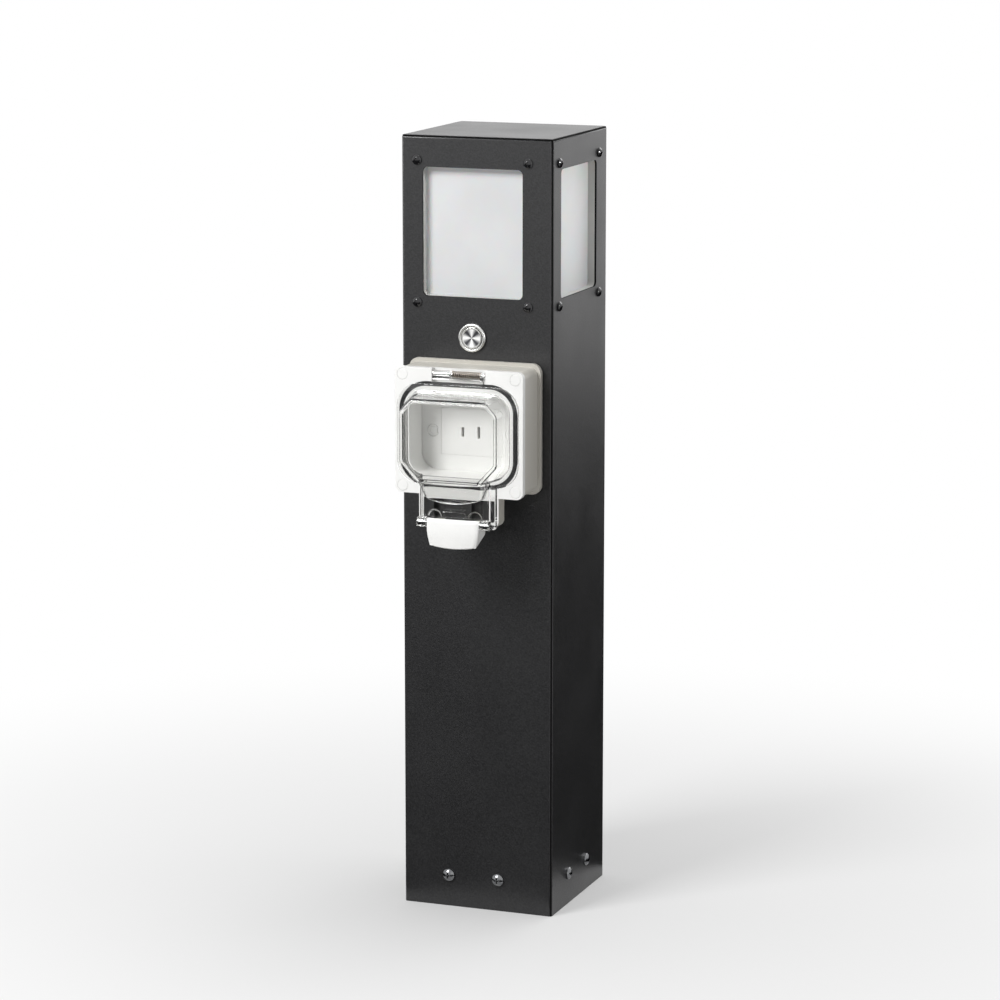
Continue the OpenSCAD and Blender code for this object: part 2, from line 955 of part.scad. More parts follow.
// Gasket between the box and the column.
module box_gasket() {
    color(black)
        on_face(front)
            difference() {
                plate_on(box_flange_w - 2, box_flange_h - 2, box_back_r - 1, 0, box_gasket_t, box_z);
                plate_on(socket_cut_w, socket_cut_h, 3, -cut, box_gasket_t + cut, socket_z);
                at_box_screws()
                    hole(box_screw_d + 0.4, -cut, box_gasket_t + cut);
            }
}

// Deep back of the box: floor, walls, rear flange, corner posts and plate posts.
module box_back() {
    floor_top = box_gasket_t + box_wall;
    post_d = 7;
    color(shell_grey)
        on_face(front)
            difference() {
                union() {
                    difference() {
                        union() {
                            plate_on(box_flange_w, box_flange_h, box_back_r,
                                box_gasket_t, box_flange_t, box_z);
                            plate_on(box_body_w, box_body_h, box_body_r,
                                box_gasket_t, box_front, box_z);
                        }
                        plate_on(box_body_w - 2 * box_wall, box_body_h - 2 * box_wall,
                            box_body_r - box_wall, floor_top, box_front + cut, box_z);
                    }
                    at_frame_screws()
                        hole(post_d, floor_top - cut, box_front);
                    at_plate_screws()
                        hole(8, floor_top - cut, socket_face - plate_t);
                }
                plate_on(socket_cut_w, socket_cut_h, 3, -cut, floor_top + cut, socket_z);
                at_box_screws()
                    hole(box_screw_d + 0.4, -cut, floor_top + cut);
                at_frame_screws()
                    hole(3.4, box_front - 14, box_front + cut);
                at_plate_screws()
                    hole(3.6, 0, socket_face);
            }
}

// Screws that hold the box on the column.
module box_screws() {
    color(steel)
        on_face(front)
            at_box_screws()
                translate([0, 0, box_gasket_t + box_wall])
                    pan_screw(box_screw_d, 7.5, 2.6, 11);
}

// Nuts of the box screws, inside the column.
module box_nuts() {
    color(steel)
        on_face(front)
            at_box_screws()
                translate([0, 0, -sheet_t - 3.2])
                    hex_nut(7, box_screw_d + 0.1, 3.2);
}

// Tongue outline under the frame, with rounded lower corners.
module tongue_outline(w, low, high, r) {
    translate([-w / 2, low + r])
        square([w, high - low - r]);
    translate([-w / 2 + r, low])
        square([w - 2 * r, r + cut]);
    for (s = [-1, 1])
        translate([s * (w / 2 - r), low + r])
            circle(r = r, $fn = round_fn);
}

module cable_grooves(low, high) {
    for (s = [-1, 1])
        translate([s * cable_x, low, box_depth])
            rotate([-90, 0, 0])
                cylinder(r = cable_r, h = high - low, $fn = hole_fn);
}

// White front frame: rim, face, well, hinge pocket and tongue.
module box_frame() {
    face = box_depth - box_wall;
    box_low = box_z - box_h / 2;
    box_high = box_z + box_h / 2;
    notch_low = well_z + flange_h / 2 - 0.2;
    tongue_back = box_depth - tongue_t;
    color(white)
        on_face(front)
            difference() {
                union() {
                    plate_on(box_w, box_h, box_corner_r, face, box_depth, box_z);
                    frame_on(box_w, box_h, box_corner_r, box_wall, box_front, box_depth, box_z);
                    plate_on(well_w + 4, well_h + 4, well_r + 2,
                        socket_face + loose, box_depth, well_z);
                    block_on(-hinge_half - 3, hinge_half + 3, notch_low - 2,
                        box_high - box_wall - loose - 0.7, box_front - 2.5, box_depth - cut);
                    block_on(-hinge_half - 3, hinge_half + 3, notch_low - 2,
                        box_high - 0.1, box_front, box_depth - cut);
                    translate([0, 0, tongue_back])
                        linear_extrude(tongue_t)
                            tongue_outline(tongue_w, tongue_bottom, box_low - loose, 5);
                    block_on(-tongue_w / 2, tongue_w / 2, box_low - 2, box_low + 1,
                        box_front, box_depth);
                    at_frame_screws()
                        hole(10, box_front, box_depth - cut);
                }
                plate_on(well_w, well_h, well_r, 0, box_depth + cut, well_z);
                translate([0, well_z, box_depth - seal_depth])
                    linear_extrude(seal_depth + cut)
                        seal_outline(0);
                block_on(-hinge_half, hinge_half, notch_low, box_high + cut,
                    box_front + 0.1, box_depth + cut);
                translate([0, hinge_z, hinge_out])
                    rotate([0, 90, 0])
                        cylinder(d = hinge_pin_d + 0.06, h = 2 * hinge_half + 5,
                            center = true, $fn = hole_fn);
                translate([0, 0, tongue_back + 3])
                    linear_extrude(tongue_t)
                        tongue_outline(tongue_w - 8, tongue_bottom + 4, box_low - 2, 2);
                cable_grooves(tongue_bottom - cut, tongue_bottom + 5);
                at_frame_screws() {
                    hole(cap_d + 0.1, box_depth - 1.8, box_depth + cut);
                    hole(6.6, box_depth - 3.4, box_depth);
                    hole(3.6, box_front - cut, box_depth);
                }
            }
}

// Ring outline of the seal round the well, grown by g.
module seal_outline(g) {
    difference() {
        round_rect(well_w + 2 * (seal_gap + seal_w) + 2 * g, well_h + 2 * (seal_gap + seal_w) + 2 * g,
            well_r + seal_gap + seal_w + g);
        round_rect(well_w + 2 * seal_gap - 2 * g, well_h + 2 * seal_gap - 2 * g,
            well_r + seal_gap - g);
    }
}

// Black seal ring in the frame's groove.
module frame_seal() {
    color(black)
        on_face(front)
            translate([0, well_z, box_depth - seal_depth])
                linear_extrude(seal_t)
                    seal_outline(-0.1);
}

// Screws that hold the frame on the box.
module frame_screws() {
    color(steel)
        on_face(front)
            at_frame_screws()
                translate([0, 0, box_depth - 3.4])
                    difference() {
                        union() {
                            hole(6, 0, 1.5);
                            hole(3.3, -13, 0.2);
                        }
                        translate([-2, -0.4, 0.7])
                            cube([4, 0.8, 1]);
                    }
}

// Round caps over the frame screws.
module screw_caps() {
    color(white)
        on_face(front)
            at_frame_screws()
                hole(cap_d, box_depth - 1.8, box_depth);
}

// Black rubber seal with two cable grooves, in the tongue.
module cable_seal() {
    back = box_depth - tongue_t + 3;
    top = box_z - box_h / 2 - 2.3;
    color(black)
        on_face(front)
            difference() {
                translate([0, 0, back])
                    linear_extrude(box_depth - back - 0.2)
                        tongue_outline(tongue_w - 8.4, tongue_bottom + 4.2, top, 1.8);
                cable_grooves(tongue_bottom, top + cut);
            }
}

// White plate that carries the socket and closes the well.
module socket_plate() {
    color(white)
        on_face(front)
            difference() {
                plate_on(plate_w, plate_h, plate_r, socket_face - plate_t, socket_face, socket_z);
                block_on(-insert_w / 2 - 0.1, insert_w / 2 + 0.1,
                    socket_z - insert_h / 2 - 0.1, socket_z + insert_h / 2 + 0.1,
                    0, socket_face + cut);
                at_plate_screws() {
                    hole(9.4, socket_face - 2.6, socket_face + cut);
                    hole(4.4, 0, socket_face);
                }
            }
}

// Slotted front of the socket.
module socket_insert() {
    color(white)
        on_face(front)
            difference() {
                block_on(-insert_w / 2, insert_w / 2, socket_z - insert_h / 2,
                    socket_z + insert_h / 2, socket_face + 0.2 - insert_t, socket_face + 0.2);
                block_on(-slot_pitch / 2 - slot_w / 2, -slot_pitch / 2 + slot_w / 2,
                    socket_z - slot_short / 2, socket_z + slot_short / 2, 0, 2 * socket_face);
                block_on(slot_pitch / 2 - slot_w / 2, slot_pitch / 2 + slot_w / 2,
                    socket_z - slot_tall / 2, socket_z + slot_tall / 2, 0, 2 * socket_face);
            }
}

// Moulded rear housing of the socket, which reaches into the column.
module socket_housing() {
    top = socket_face + 0.2 - insert_t;
    color(shell_grey)
        on_face(front)
            difference() {
                union() {
                    plate_on(housing_w, housing_h, 3, top - housing_l, top, socket_z);
                    block_on(-housing_w / 2 + 6, housing_w / 2 - 6, socket_z - housing_h / 2 + 6,
                        socket_z + housing_h / 2 - 6, top - housing_l - 2, top - housing_l + cut);
                }
                for (s = [-1, 1]) {
                    block_on(s * slot_pitch / 2 - 2.6, s * slot_pitch / 2 + 2.6,
                        socket_z - 6.5, socket_z + 6.5, top - 18, top + cut);
                    translate([s * terminal_x, socket_z, 0])
                        hole(7, top - housing_l - 2 - cut, top - housing_l + 6);
                }
            }
}

// Sprung brass contacts behind the slots: two leaves on a foot.
module socket_contacts() {
    top = socket_face + 0.2 - insert_t;
    color(brass)
        on_face(front)
            for (s = [-1, 1])
                translate([s * slot_pitch / 2, socket_z, top - 18]) {
                    block_on(-2.2, 2.2, -4.5, 4.5, 0, 1);
                    for (q = [-1, 1])
                        block_on(q * 1.55 - 0.45, q * 1.55 + 0.45, -4.5, 4.5, 0.9, 17);
                }
}

// Clamp screws in the rear of the socket.
module socket_terminals() {
    top = socket_face + 0.2 - insert_t;
    color(brass)
        on_face(front)
            for (s = [-1, 1])
                translate([s * terminal_x, socket_z, top - housing_l + 3])
                    difference() {
                        hole(6.8, 0, 3);
                        translate([-3, -0.5, -cut])
                            cube([6, 1, 1.2 + cut]);
                    }
}

// Screws of the socket plate.
module plate_screws() {
    color(steel)
        on_face(front)
            at_plate_screws()
                translate([0, 0, socket_face - 2.6])
                    difference() {
                        union() {
                            hole(7.4, 0, 1.2);
                            hole(3.5, -8, 0.2);
                        }
                        translate([-2.5, -0.5, 0.6])
                            cube([5, 1, 1]);
                    }
}

// Push-in covers over the plate screws.
module plate_caps() {
    color(white)
        on_face(front)
            at_plate_screws()
                difference() {
                    hole(8.8, socket_face - 1.3, socket_face - 0.1);
                    translate([3.2, -1.5, socket_face - 1])
                        cube([2, 3, 2]);
                }
}

// Stainless pin of the cover's hinge.
module hinge_pin() {
    color(steel)
        on_face(front)
            translate([0, hinge_z, hinge_out])
                rotate([0, 90, 0])
                    cylinder(d = hinge_pin_d, h = 2 * hinge_half + 4.6, center = true, $fn = hole_fn);
}

// Coil spring round the hinge pin.
module hinge_spring() {
    color("#8a7a68")
        on_face(front)
            translate([spring_from + 0.4, hinge_z, hinge_out])
                rotate([0, 90, 0])
                    coil(spring_r, spring_wire, spring_pitch, spring_turns);
}

// Front outline of the dome, shrunk by g: narrow top chamfers, wide lower ones.
module dome_outline(g) {
    w = dome_front_w / 2 - g;
    high = dome_front_h / 2 - g;
    top_x = 8.5 - 0.4 * g;
    top_z = 9.5 - 0.4 * g;
    low_x = 14 - 0.4 * g;
    low_z = 15 - 0.4 * g;
    polygon([
        [-w + low_x, -high], [w - low_x, -high], [w, -high + low_z],
        [w, high - top_z], [w - top_x, high], [-w + top_x, high],
        [-w, high - top_z], [-w, -high + low_z]]);
}

// Solid between the dome's foot and its front, shrunk by g.
module dome_form(g, low) {
    foot_w = dome_foot_w - 2 * g;
    foot_h = dome_foot_h - 2 * g;
    hull() {
        translate([0, well_z, low])
            linear_extrude(0.1)
                for (sx = [-1, 1], sz = [-1, 1])
                    translate([sx * (foot_w / 2 - well_r + g), sz * (foot_h / 2 - well_r + g)])
                        circle(r = well_r - g, $fn = soft_fn);
        translate([0, well_z - 2.3, cover_face - g - 0.1])
            linear_extrude(0.1)
                dome_outline(g);
    }
}

// Shallow tray in front of the tongue, shrunk by g.
module tray_form(g, low, high) {
    hull() {
        translate([0, 0, low])
            linear_extrude(0.1)
                translate([-tray_w / 2 + g, tray_bottom + g])
                    square([tray_w - 2 * g, high - tray_bottom - g]);
        translate([0, 0, cover_back + tray_depth - g - 0.1])
            linear_extrude(0.1)
                translate([-tray_front_w / 2 + g, tray_bottom + 2 + g])
                    square([tray_front_w - 2 * g, high - tray_bottom - 2 - g]);
    }
}

// Hood over the cable outlet, shrunk by g and reaching from low to high.
module hood_form(g, back, low) {
    top = tray_top + 3;
    hull() {
        block_on(-hood_top_w / 2 + g, hood_top_w / 2 - g, top, top + 0.1,
            back, cover_face - 0.6 - g);
        block_on(-hood_low_w / 2 + g, hood_low_w / 2 - g, low, low + 0.1,
            back, cover_back + hood_low_out - g);
    }
}

// Clear cover: flange, dome, tray, hood, hinge strap and latch ears.
module cover() {
    high = tray_top + 4;
    tray_face = cover_back + tray_depth;
    color(clear)
        on_face(front)
            difference() {
                union() {
                    plate_on(flange_w, flange_h, flange_r, cover_back, cover_back + flange_t, well_z);
                    dome_form(0, cover_back);
                    tray_form(0, cover_back, high);
                    intersection() {
                        hood_form(0, cover_back + 2, hood_bottom - 2);
                        translate([0, hood_bottom + hood_r, cover_back])
                            cylinder(r = hood_r, h = dome_depth, $fn = round_fn);
                    }
                    block_on(-20.7, 20.7, well_z + flange_h / 2 - 4, hinge_z + 1,
                        cover_back, cover_back + flange_t);
                    for (x = [knuckle_left, knuckle_right]) {
                        block_on(x[0], x[1], hinge_z - knuckle_r, hinge_z + 1,
                            hinge_out, cover_back + flange_t);
                        translate([x[0], hinge_z, hinge_out])
                            rotate([0, 90, 0])
                                cylinder(r = knuckle_r, h = x[1] - x[0], $fn = hole_fn);
                    }
                    for (bar = tray_bars)
                        block_on(-tray_bar_w / 2 - 1, tray_bar_w / 2 - 1, bar[0] - bar[1] / 2,
                            bar[0] + bar[1] / 2, tray_face - 1, tray_face + tray_rib);
                    for (s = [-1, 1])
                        translate([s * tray_arch_x, tray_arch_z, tray_face - 1])
                            difference() {
                                cylinder(r = tray_arch_r, h = 1 + tray_rib, $fn = hole_fn);
                                hole(2 * tray_arch_r - 1.6, -cut, 2 + cut);
                                block_on(-9, 9, -9, 0, -cut, 2 + cut);
                            }
                    for (s = [-1, 1]) {
                        translate([s * (latch_w / 2 + loose + ear_l / 2 + 0.2), latch_z, latch_out])
                            rotate([0, 90, 0])
                                cylinder(r = ear_r, h = ear_l, center = true, $fn = hole_fn);
                        translate([s * (latch_w / 2 + loose + ear_l / 2 + 0.2), latch_z, 0])
                            block_on(-ear_l / 2, ear_l / 2, -ear_r, ear_r,
                                cover_back + 2, latch_out);
                    }
                }
                dome_form(dome_wall, cover_back - 0.1);
                tray_form(2, cover_back - 0.1, high);
                hood_form(2, tray_face, hood_bottom - 6);
                cable_grooves(tray_bottom - cut, tray_bottom + 4);
                translate([0, hinge_z, hinge_out])
                    rotate([0, 90, 0]) {
                        cylinder(d = hinge_pin_d + 0.12, h = box_w, center = true, $fn = hole_fn);
                        translate([0, 0, knuckle_left[1]])
                            cylinder(r = spring_r + spring_wire / 2 + loose,
                                h = knuckle_right[0] - knuckle_left[1], $fn = hole_fn);
                    }
                translate([0, latch_z, latch_out])
                    rotate([0, 90, 0])
                        cylinder(d = latch_pin_d + 0.06, h = box_w, center = true, $fn = hole_fn);
            }
}

// White latch flap, curved across, with two cheeks that reach under the tongue.
module latch() {
    half = latch_w / 2;
    cheek_t = 2.5;
    arm_high = tray_bottom - 0.6;
    color(white)
        on_face(front)
            difference() {
                union() {
                    intersection() {
                        translate([0, 0, latch_face - latch_curve])
                            rotate([-90, 0, 0])
                                translate([0, 0, latch_bottom - 1])
                                    difference() {
                                        cylinder(r = latch_curve, h = latch_top - latch_bottom + 1, $fn = 128);
                                        translate([0, 0, -cut])
                                            cylinder(r = latch_curve - latch_t,
                                                h = latch_top - latch_bottom + 2, $fn = 128);
                                    }
                        translate([0, 0, latch_out - 4])
                            linear_extrude(20)
                                intersection() {
                                    tongue_outline(latch_w, latch_bottom, latch_top, 4);
                                    translate([0, latch_bottom + latch_low_r])
                                        circle(r = latch_low_r, $fn = 128);
                                }
                    }
                    for (s = [-1, 1])
                        translate([s * (half - cheek_t / 2), 0, 0]) {
                            translate([0, latch_z, latch_out])
                                rotate([0, 90, 0])
                                    cylinder(r = 3, h = cheek_t, center = true, $fn = hole_fn);
                            block_on(-cheek_t / 2, cheek_t / 2, arm_high - 4, latch_z,
                                latch_out - 2.8, latch_face - 2.3);
                            block_on(-cheek_t / 2, cheek_t / 2, arm_high - 4, arm_high,
                                box_depth - 2.5, latch_out);
                            block_on(-cheek_t / 2, cheek_t / 2, arm_high - 4,
                                tongue_bottom - loose, box_depth - 2.5, box_depth - 1);
                        }
                    block_on(-half + 1, half - 1, latch_top - 2, latch_top,
                        latch_out + 1, latch_face - 2);
                }
                translate([0, latch_z, latch_out])
                    rotate([0, 90, 0])
                        cylinder(d = latch_pin_d + 0.12, h = box_w, center = true, $fn = hole_fn);
            }
}

// Pin of the latch.
module latch_pin() {
    color(steel)
        on_face(front)
            translate([0, latch_z, latch_out])
                rotate([0, 90, 0])
                    cylinder(d = latch_pin_d, h = latch_w + 2 * (loose + ear_l), center = true,
                        $fn = hole_fn);
}

function unit(v) = v / norm(v);

// Point at t from 0 to 1 on a smooth stretch between b and c.
function spline_point(a, b, c, d, t) =
    0.5 * ((2 * b) + (c - a) * t + (2 * a - 5 * b + 4 * c - d) * t * t
        + (3 * b - a - 3 * c + d) * t * t * t);

function route_point(p, i) = p[max(0, min(len(p) - 1, i))];

function smooth_route(p, n) = concat(
    [for (i = [0 : len(p) - 2], k = [0 : n - 1])
        spline_point(route_point(p, i - 1), p[i], p[i + 1], route_point(p, i + 2), k / n)],
    [p[len(p) - 1]]);

// Insulated lead swept along a smooth route; no stretch may run along x.
module lead(points, r) {
    sides = 8;
    p = smooth_route(points, 3);
    last = len(p) - 1;
    rings = [for (i = [0 : last])
        let (t = unit(p[min(last, i + 1)] - p[max(0, i - 1)]),
            u = unit(cross(t, [1, 0, 0])),
            v = cross(t, u))
        for (k = [0 : sides - 1])
            p[i] + r * cos(360 * k / sides) * u + r * sin(360 * k / sides) * v];
    polyhedron(rings, skin_faces(last + 1, sides), convexity = 6);
}

// Routes of the leads: heights of the block's entries, of the rear screws and of the lamp.
entry_z = base_t + block_entry_z;
rise_y = half_w - foot_screw_l - lead_r - 1.7;
rise_z = foot_screw_z + 9.6;
climb = socket_z - rise_z;
block_rear = block_y + block[1] / 2;
block_front = block_y - block[1] / 2;
terminal_y = -half_w + housing_l + insert_t - socket_face - 3.2;
power_route = [[0, block_rear - 5.9, entry_z], [0, block_rear - 2, entry_z],
    [0, block_rear + 0.6, entry_z + 0.6], [0, rise_y, entry_z + 3], [0, rise_y, entry_z + 7],
    [0, rise_y, rise_z], [0, rise_y - 2, rise_z + 0.08 * climb],
    [0, rise_y - 10, rise_z + 0.23 * climb], [0, rise_y - 21, rise_z + 0.43 * climb],
    [0, rise_y - 29, rise_z + 0.64 * climb], [0, rise_y - 34, rise_z + 0.82 * climb],
    [0, rise_y - 40, socket_z - 26.5], [0, rise_y - 51, socket_z - 9.5],
    [0, terminal_y + 18, socket_z - 1.5], [0, terminal_y + 9, socket_z],
    [0, terminal_y + 4, socket_z], [0, terminal_y + 0.05, socket_z]];
earth_x = -anchor_pitch / 2;
earth_route = [[-block_pitch, block_front + 5.9, entry_z], [-block_pitch, block_front + 1, entry_z],
    [earth_x + 22, block_front - 7, entry_z + 0.6], [earth_x + 15, block_front - 16, entry_z + 1.5],
    [earth_x + 8, 1.4, entry_z + 1.5], [earth_x + 3, 0.2, entry_z + 1.5]];
switch_x = -face_shift + 4.5;
switch_y = -half_w - button_body + button_body_l + 6;
switch_low = button_z - 4;
switch_climb = switch_low - entry_z;
switch_route = [[0, block_front + 5.9, entry_z], [0, block_front + 1, entry_z],
    [0, block_front - 2.4, entry_z + 0.8], [0, block_front - 4, entry_z + 5],
    [0, block_front - 6, entry_z + 0.05 * switch_climb], [0, 8, entry_z + 0.26 * switch_climb],
    [0, 3, entry_z + 0.54 * switch_climb], [0, 1, entry_z + 0.75 * switch_climb],
    [switch_x / 2, 1, entry_z + 0.915 * switch_climb], [switch_x, 0, switch_low - 8.6],
    [switch_x, switch_y + 15, switch_low - 1.2], [switch_x, switch_y + 7, switch_low],
    [switch_x, switch_y + 0.1, switch_low]];
driver_face = driver_y - driver[1] / 2;
driver_low = shelf_bottom - driver[2] / 2;
driver_route = [[switch_x - 9, switch_y + 0.1, switch_low + 8], [switch_x - 9, switch_y + 7, switch_low + 8],
    [switch_x - 9, driver_face - 10, driver_low], [switch_x - 9, driver_face - 4, driver_low],
    [switch_x - 9, driver_face - 0.1, driver_low]];
sink_top = shelf_top + sink_h;
board_out = sink_w / 2 + board_t;
lamp_route = [[0, driver_face - 0.1, driver_low + 1], [0, driver_face - 3, driver_low + 1.2],
    [0, driver_face - 6.4, shelf_bottom - 6.4], [0, 0, shelf_bottom - 1], [0, 0, shelf_top + 6.5],
    [0, 0, shelf_top + sink_h / 2], [0, 0, sink_top - 12], [0, 2, sink_top - 1.2],
    [0, 7, sink_top + 4.2], [0, board_out - 5.6, sink_top + 5], [0, board_out - 0.2, sink_top + 2.8],
    [0, board_out + 1.1, sink_top - 2.2], [0, board_out, shelf_top + board_up + board_h + 0.1]];

// Two leads from the terminal block to the socket, and the short earth lead.
module power_leads() {
    for (s = [-1, 1])
        color(s < 0 ? "#7a4a2a" : "#3465a8")
            lead([for (p = power_route)
                [s * (block_pitch + (terminal_x - block_pitch) * (p[2] - entry_z) / (socket_z - entry_z)),
                    p[1], p[2]]], lead_r);
    color("#6f9a3a")
        lead(earth_route, lead_r);
}

// Two leads from the driver up through the post to the lamp boards.
module lamp_leads() {
    for (s = [-1, 1])
        color("#3465a8")
            lead([for (p = lamp_route) [s * 2.5, p[1], p[2]]], lead_r);
}

// Lead from the terminal block to the switch, and from the switch to the driver.
module button_leads() {
    color("#7a4a2a") {
        lead(switch_route, lead_r);
        lead(driver_route, lead_r);
    }
}

column_shell();
seam_angle();
joint_sealant();
cap_plate();
base_plate();
base_rivnuts();
base_screws();
cable_grommet();
terminal_block();
terminal_screws();
earth_stud();
window_spacer_front();
window_spacer_right();
window_spacer_rear();
window_spacer_left();
diffuser_front();
diffuser_right();
diffuser_rear();
diffuser_left();
window_screws();
window_nuts();
lamp_shelf();
led_heat_sink();
led_boards();
led_chips();
lamp_screws();
led_driver();
driver_screws();
button_bezel();
button_plunger();
button_seal();
button_nut();
button_switch();
button_terminals();
button_spring();
box_gasket();
box_back();
box_screws();
box_nuts();
box_frame();
frame_screws();
screw_caps();
frame_seal();
cable_seal();
socket_plate();
socket_insert();
socket_housing();
socket_contacts();
socket_terminals();
plate_screws();
plate_caps();
hinge_pin();
hinge_spring();
cover();
latch();
latch_pin();
power_leads();
lamp_leads();
button_leads();
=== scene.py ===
import math

import bmesh
import bpy
import numpy as np
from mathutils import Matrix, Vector


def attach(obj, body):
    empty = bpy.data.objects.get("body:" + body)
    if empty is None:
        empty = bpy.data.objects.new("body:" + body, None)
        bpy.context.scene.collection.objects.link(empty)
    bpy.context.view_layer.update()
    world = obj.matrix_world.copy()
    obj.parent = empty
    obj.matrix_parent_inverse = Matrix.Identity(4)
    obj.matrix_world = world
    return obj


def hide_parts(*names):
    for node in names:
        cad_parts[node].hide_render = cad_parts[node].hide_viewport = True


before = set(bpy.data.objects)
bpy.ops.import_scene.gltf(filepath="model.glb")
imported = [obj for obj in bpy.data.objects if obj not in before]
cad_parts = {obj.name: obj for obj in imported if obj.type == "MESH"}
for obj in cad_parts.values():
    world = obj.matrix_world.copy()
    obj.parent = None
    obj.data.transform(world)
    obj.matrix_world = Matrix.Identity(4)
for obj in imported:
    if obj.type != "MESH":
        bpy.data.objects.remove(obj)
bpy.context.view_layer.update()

# ---- Camera, floor and light -------------------------------------------------------
# The camera stands where the edges of the column put it: front right, a little above,
# with a long lens. Sizes are in metres; MM turns millimetres into them.
MM = 0.001
scene = bpy.context.scene
scene.view_settings.view_transform = "Standard"

camera = bpy.data.objects.new("Camera", bpy.data.cameras.new("Camera"))
camera.data.lens = 133.3
camera.data.sensor_width = 36
camera.data.clip_end = 50
camera.location = (0.9796, -2.6000, 0.8414)
camera.rotation_euler = (math.radians(90 - 10.88), 0, math.radians(20.73))
scene.collection.objects.link(camera)
scene.camera = camera


def linear(code):
    """sRGB hex colour as linear RGBA: ((c + 0.055) / 1.055) ** 2.4, and c / 12.92 near black."""
    c = np.array([int(code[i:i + 2], 16) for i in (1, 3, 5)]) / 255
    c = np.where(c > 0.04045, ((c + 0.055) / 1.055) ** 2.4, c / 12.92)
    return (*c.tolist(), 1.0)


def node(tree, kind, values=None, links=None, **settings):
    """Adds one shader node with its settings, its input values and its incoming links."""
    made = tree.nodes.new(kind)
    for key, value in settings.items():
        setattr(made, key, value)
    for key, value in (values or {}).items():
        made.inputs[key].default_value = value
    for key, source in (links or {}).items():
        tree.links.new(source, made.inputs[key])
    return made


def shown_ray(tree):
    """1 for rays that see the backdrop: straight from the camera, in gloss or through glass,
    but not after a matt surface, or the white would light what lies under the cover."""
    path = node(tree, "ShaderNodeLightPath")
    seen = node(tree, "ShaderNodeMath", operation="MAXIMUM", links={
        0: path.outputs["Is Camera Ray"], 1: path.outputs["Is Glossy Ray"]})
    seen = node(tree, "ShaderNodeMath", operation="MAXIMUM", links={
        0: seen.outputs[0], 1: path.outputs["Is Transmission Ray"]})
    first = node(tree, "ShaderNodeMath", {1: 0.5}, operation="LESS_THAN",
                 links={0: path.outputs["Diffuse Depth"]})
    return node(tree, "ShaderNodeMath", operation="MULTIPLY",
                links={0: seen.outputs[0], 1: first.outputs[0]}).outputs[0]


# The room looks white, but lights the object with about a quarter of that.
world = bpy.data.worlds.new("Studio")
scene.world = world
world.use_nodes = True
world.node_tree.nodes.clear()
fill = node(world.node_tree, "ShaderNodeBackground",
            {"Color": linear("#ffffff"), "Strength": 0.26})
white = node(world.node_tree, "ShaderNodeBackground",
             {"Color": linear("#ffffff"), "Strength": 1.0})
either = node(world.node_tree, "ShaderNodeMixShader", links={
    0: shown_ray(world.node_tree), 1: fill.outputs[0], 2: white.outputs[0]})
node(world.node_tree, "ShaderNodeOutputWorld", links={0: either.outputs[0]})

# Plain pale floor: matt white board. Beyond the shadow it turns into even white, for the
# rays that see the backdrop.
FLOOR_REACH, FLOOR_LEVEL = 12, -2e-4
floor_mesh = bpy.data.meshes.new("floor")
floor_mesh.from_pydata([(x * FLOOR_REACH, y * FLOOR_REACH, FLOOR_LEVEL)
                        for x, y in ((-1, -1), (1, -1), (1, 1), (-1, 1))], [], [(0, 1, 2, 3)])
floor = bpy.data.objects.new("floor", floor_mesh)
scene.collection.objects.link(floor)
paper = bpy.data.materials.new("white_board")
paper.use_nodes = True
tree = paper.node_tree
tree.nodes.clear()
away = node(tree, "ShaderNodeVectorMath", operation="LENGTH",
            links={0: node(tree, "ShaderNodeTexCoord").outputs["Object"]})
far = node(tree, "ShaderNodeMapRange", {"From Min": 0.12, "From Max": 0.8, "To Min": 0.3},
           {"Value": away.outputs["Value"]}, interpolation_type="SMOOTHSTEP")
far = node(tree, "ShaderNodeMath", operation="MULTIPLY",
           links={0: far.outputs[0], 1: shown_ray(tree)})
matt = node(tree, "ShaderNodeBsdfDiffuse", {"Color": linear("#c9c9c9")})
even = node(tree, "ShaderNodeEmission", {"Color": linear("#ffffff")})
both = node(tree, "ShaderNodeMixShader",
            links={0: far.outputs[0], 1: matt.outputs[0], 2: even.outputs[0]})
node(tree, "ShaderNodeOutputMaterial", links={0: both.outputs[0]})
floor_mesh.materials.append(paper)

# Flags: dark cloth laid on the studio floor well away from the object, with one gap on
# the right that puts a bright line on rounded edges. Only gloss shows it, which keeps
# dark enamel dark and gives its faces their gradient.
FLAG_NEAR, FLAG_FAR, FLAG_LEVEL, FLAG_POINTS = 0.1, 2.6, 0.002, 96
a = np.linspace(math.radians(-4), math.radians(322), FLAG_POINTS)
ring = np.stack([np.cos(a), np.sin(a), 0 * a + FLAG_LEVEL], -1)
rims = np.vstack([ring * (reach, reach, 1) for reach in (FLAG_NEAR, FLAG_FAR)])
cloth_mesh = bpy.data.meshes.new("flags")
k = np.arange(FLAG_POINTS - 1)
cloth_mesh.from_pydata(rims.tolist(), [], np.stack(
    [k, k + FLAG_POINTS, k + FLAG_POINTS + 1, k + 1], -1).tolist())
cloth = bpy.data.objects.new("flags", cloth_mesh)
scene.collection.objects.link(cloth)
cloth.visible_camera = cloth.visible_diffuse = cloth.visible_shadow = False
dark = bpy.data.materials.new("dark_cloth")
dark.use_nodes = True
dark.node_tree.nodes.clear()
node(dark.node_tree, "ShaderNodeOutputMaterial", links={
    0: node(dark.node_tree, "ShaderNodeBsdfDiffuse", {"Color": linear("#181818")}).outputs[0]})
cloth_mesh.materials.append(dark)


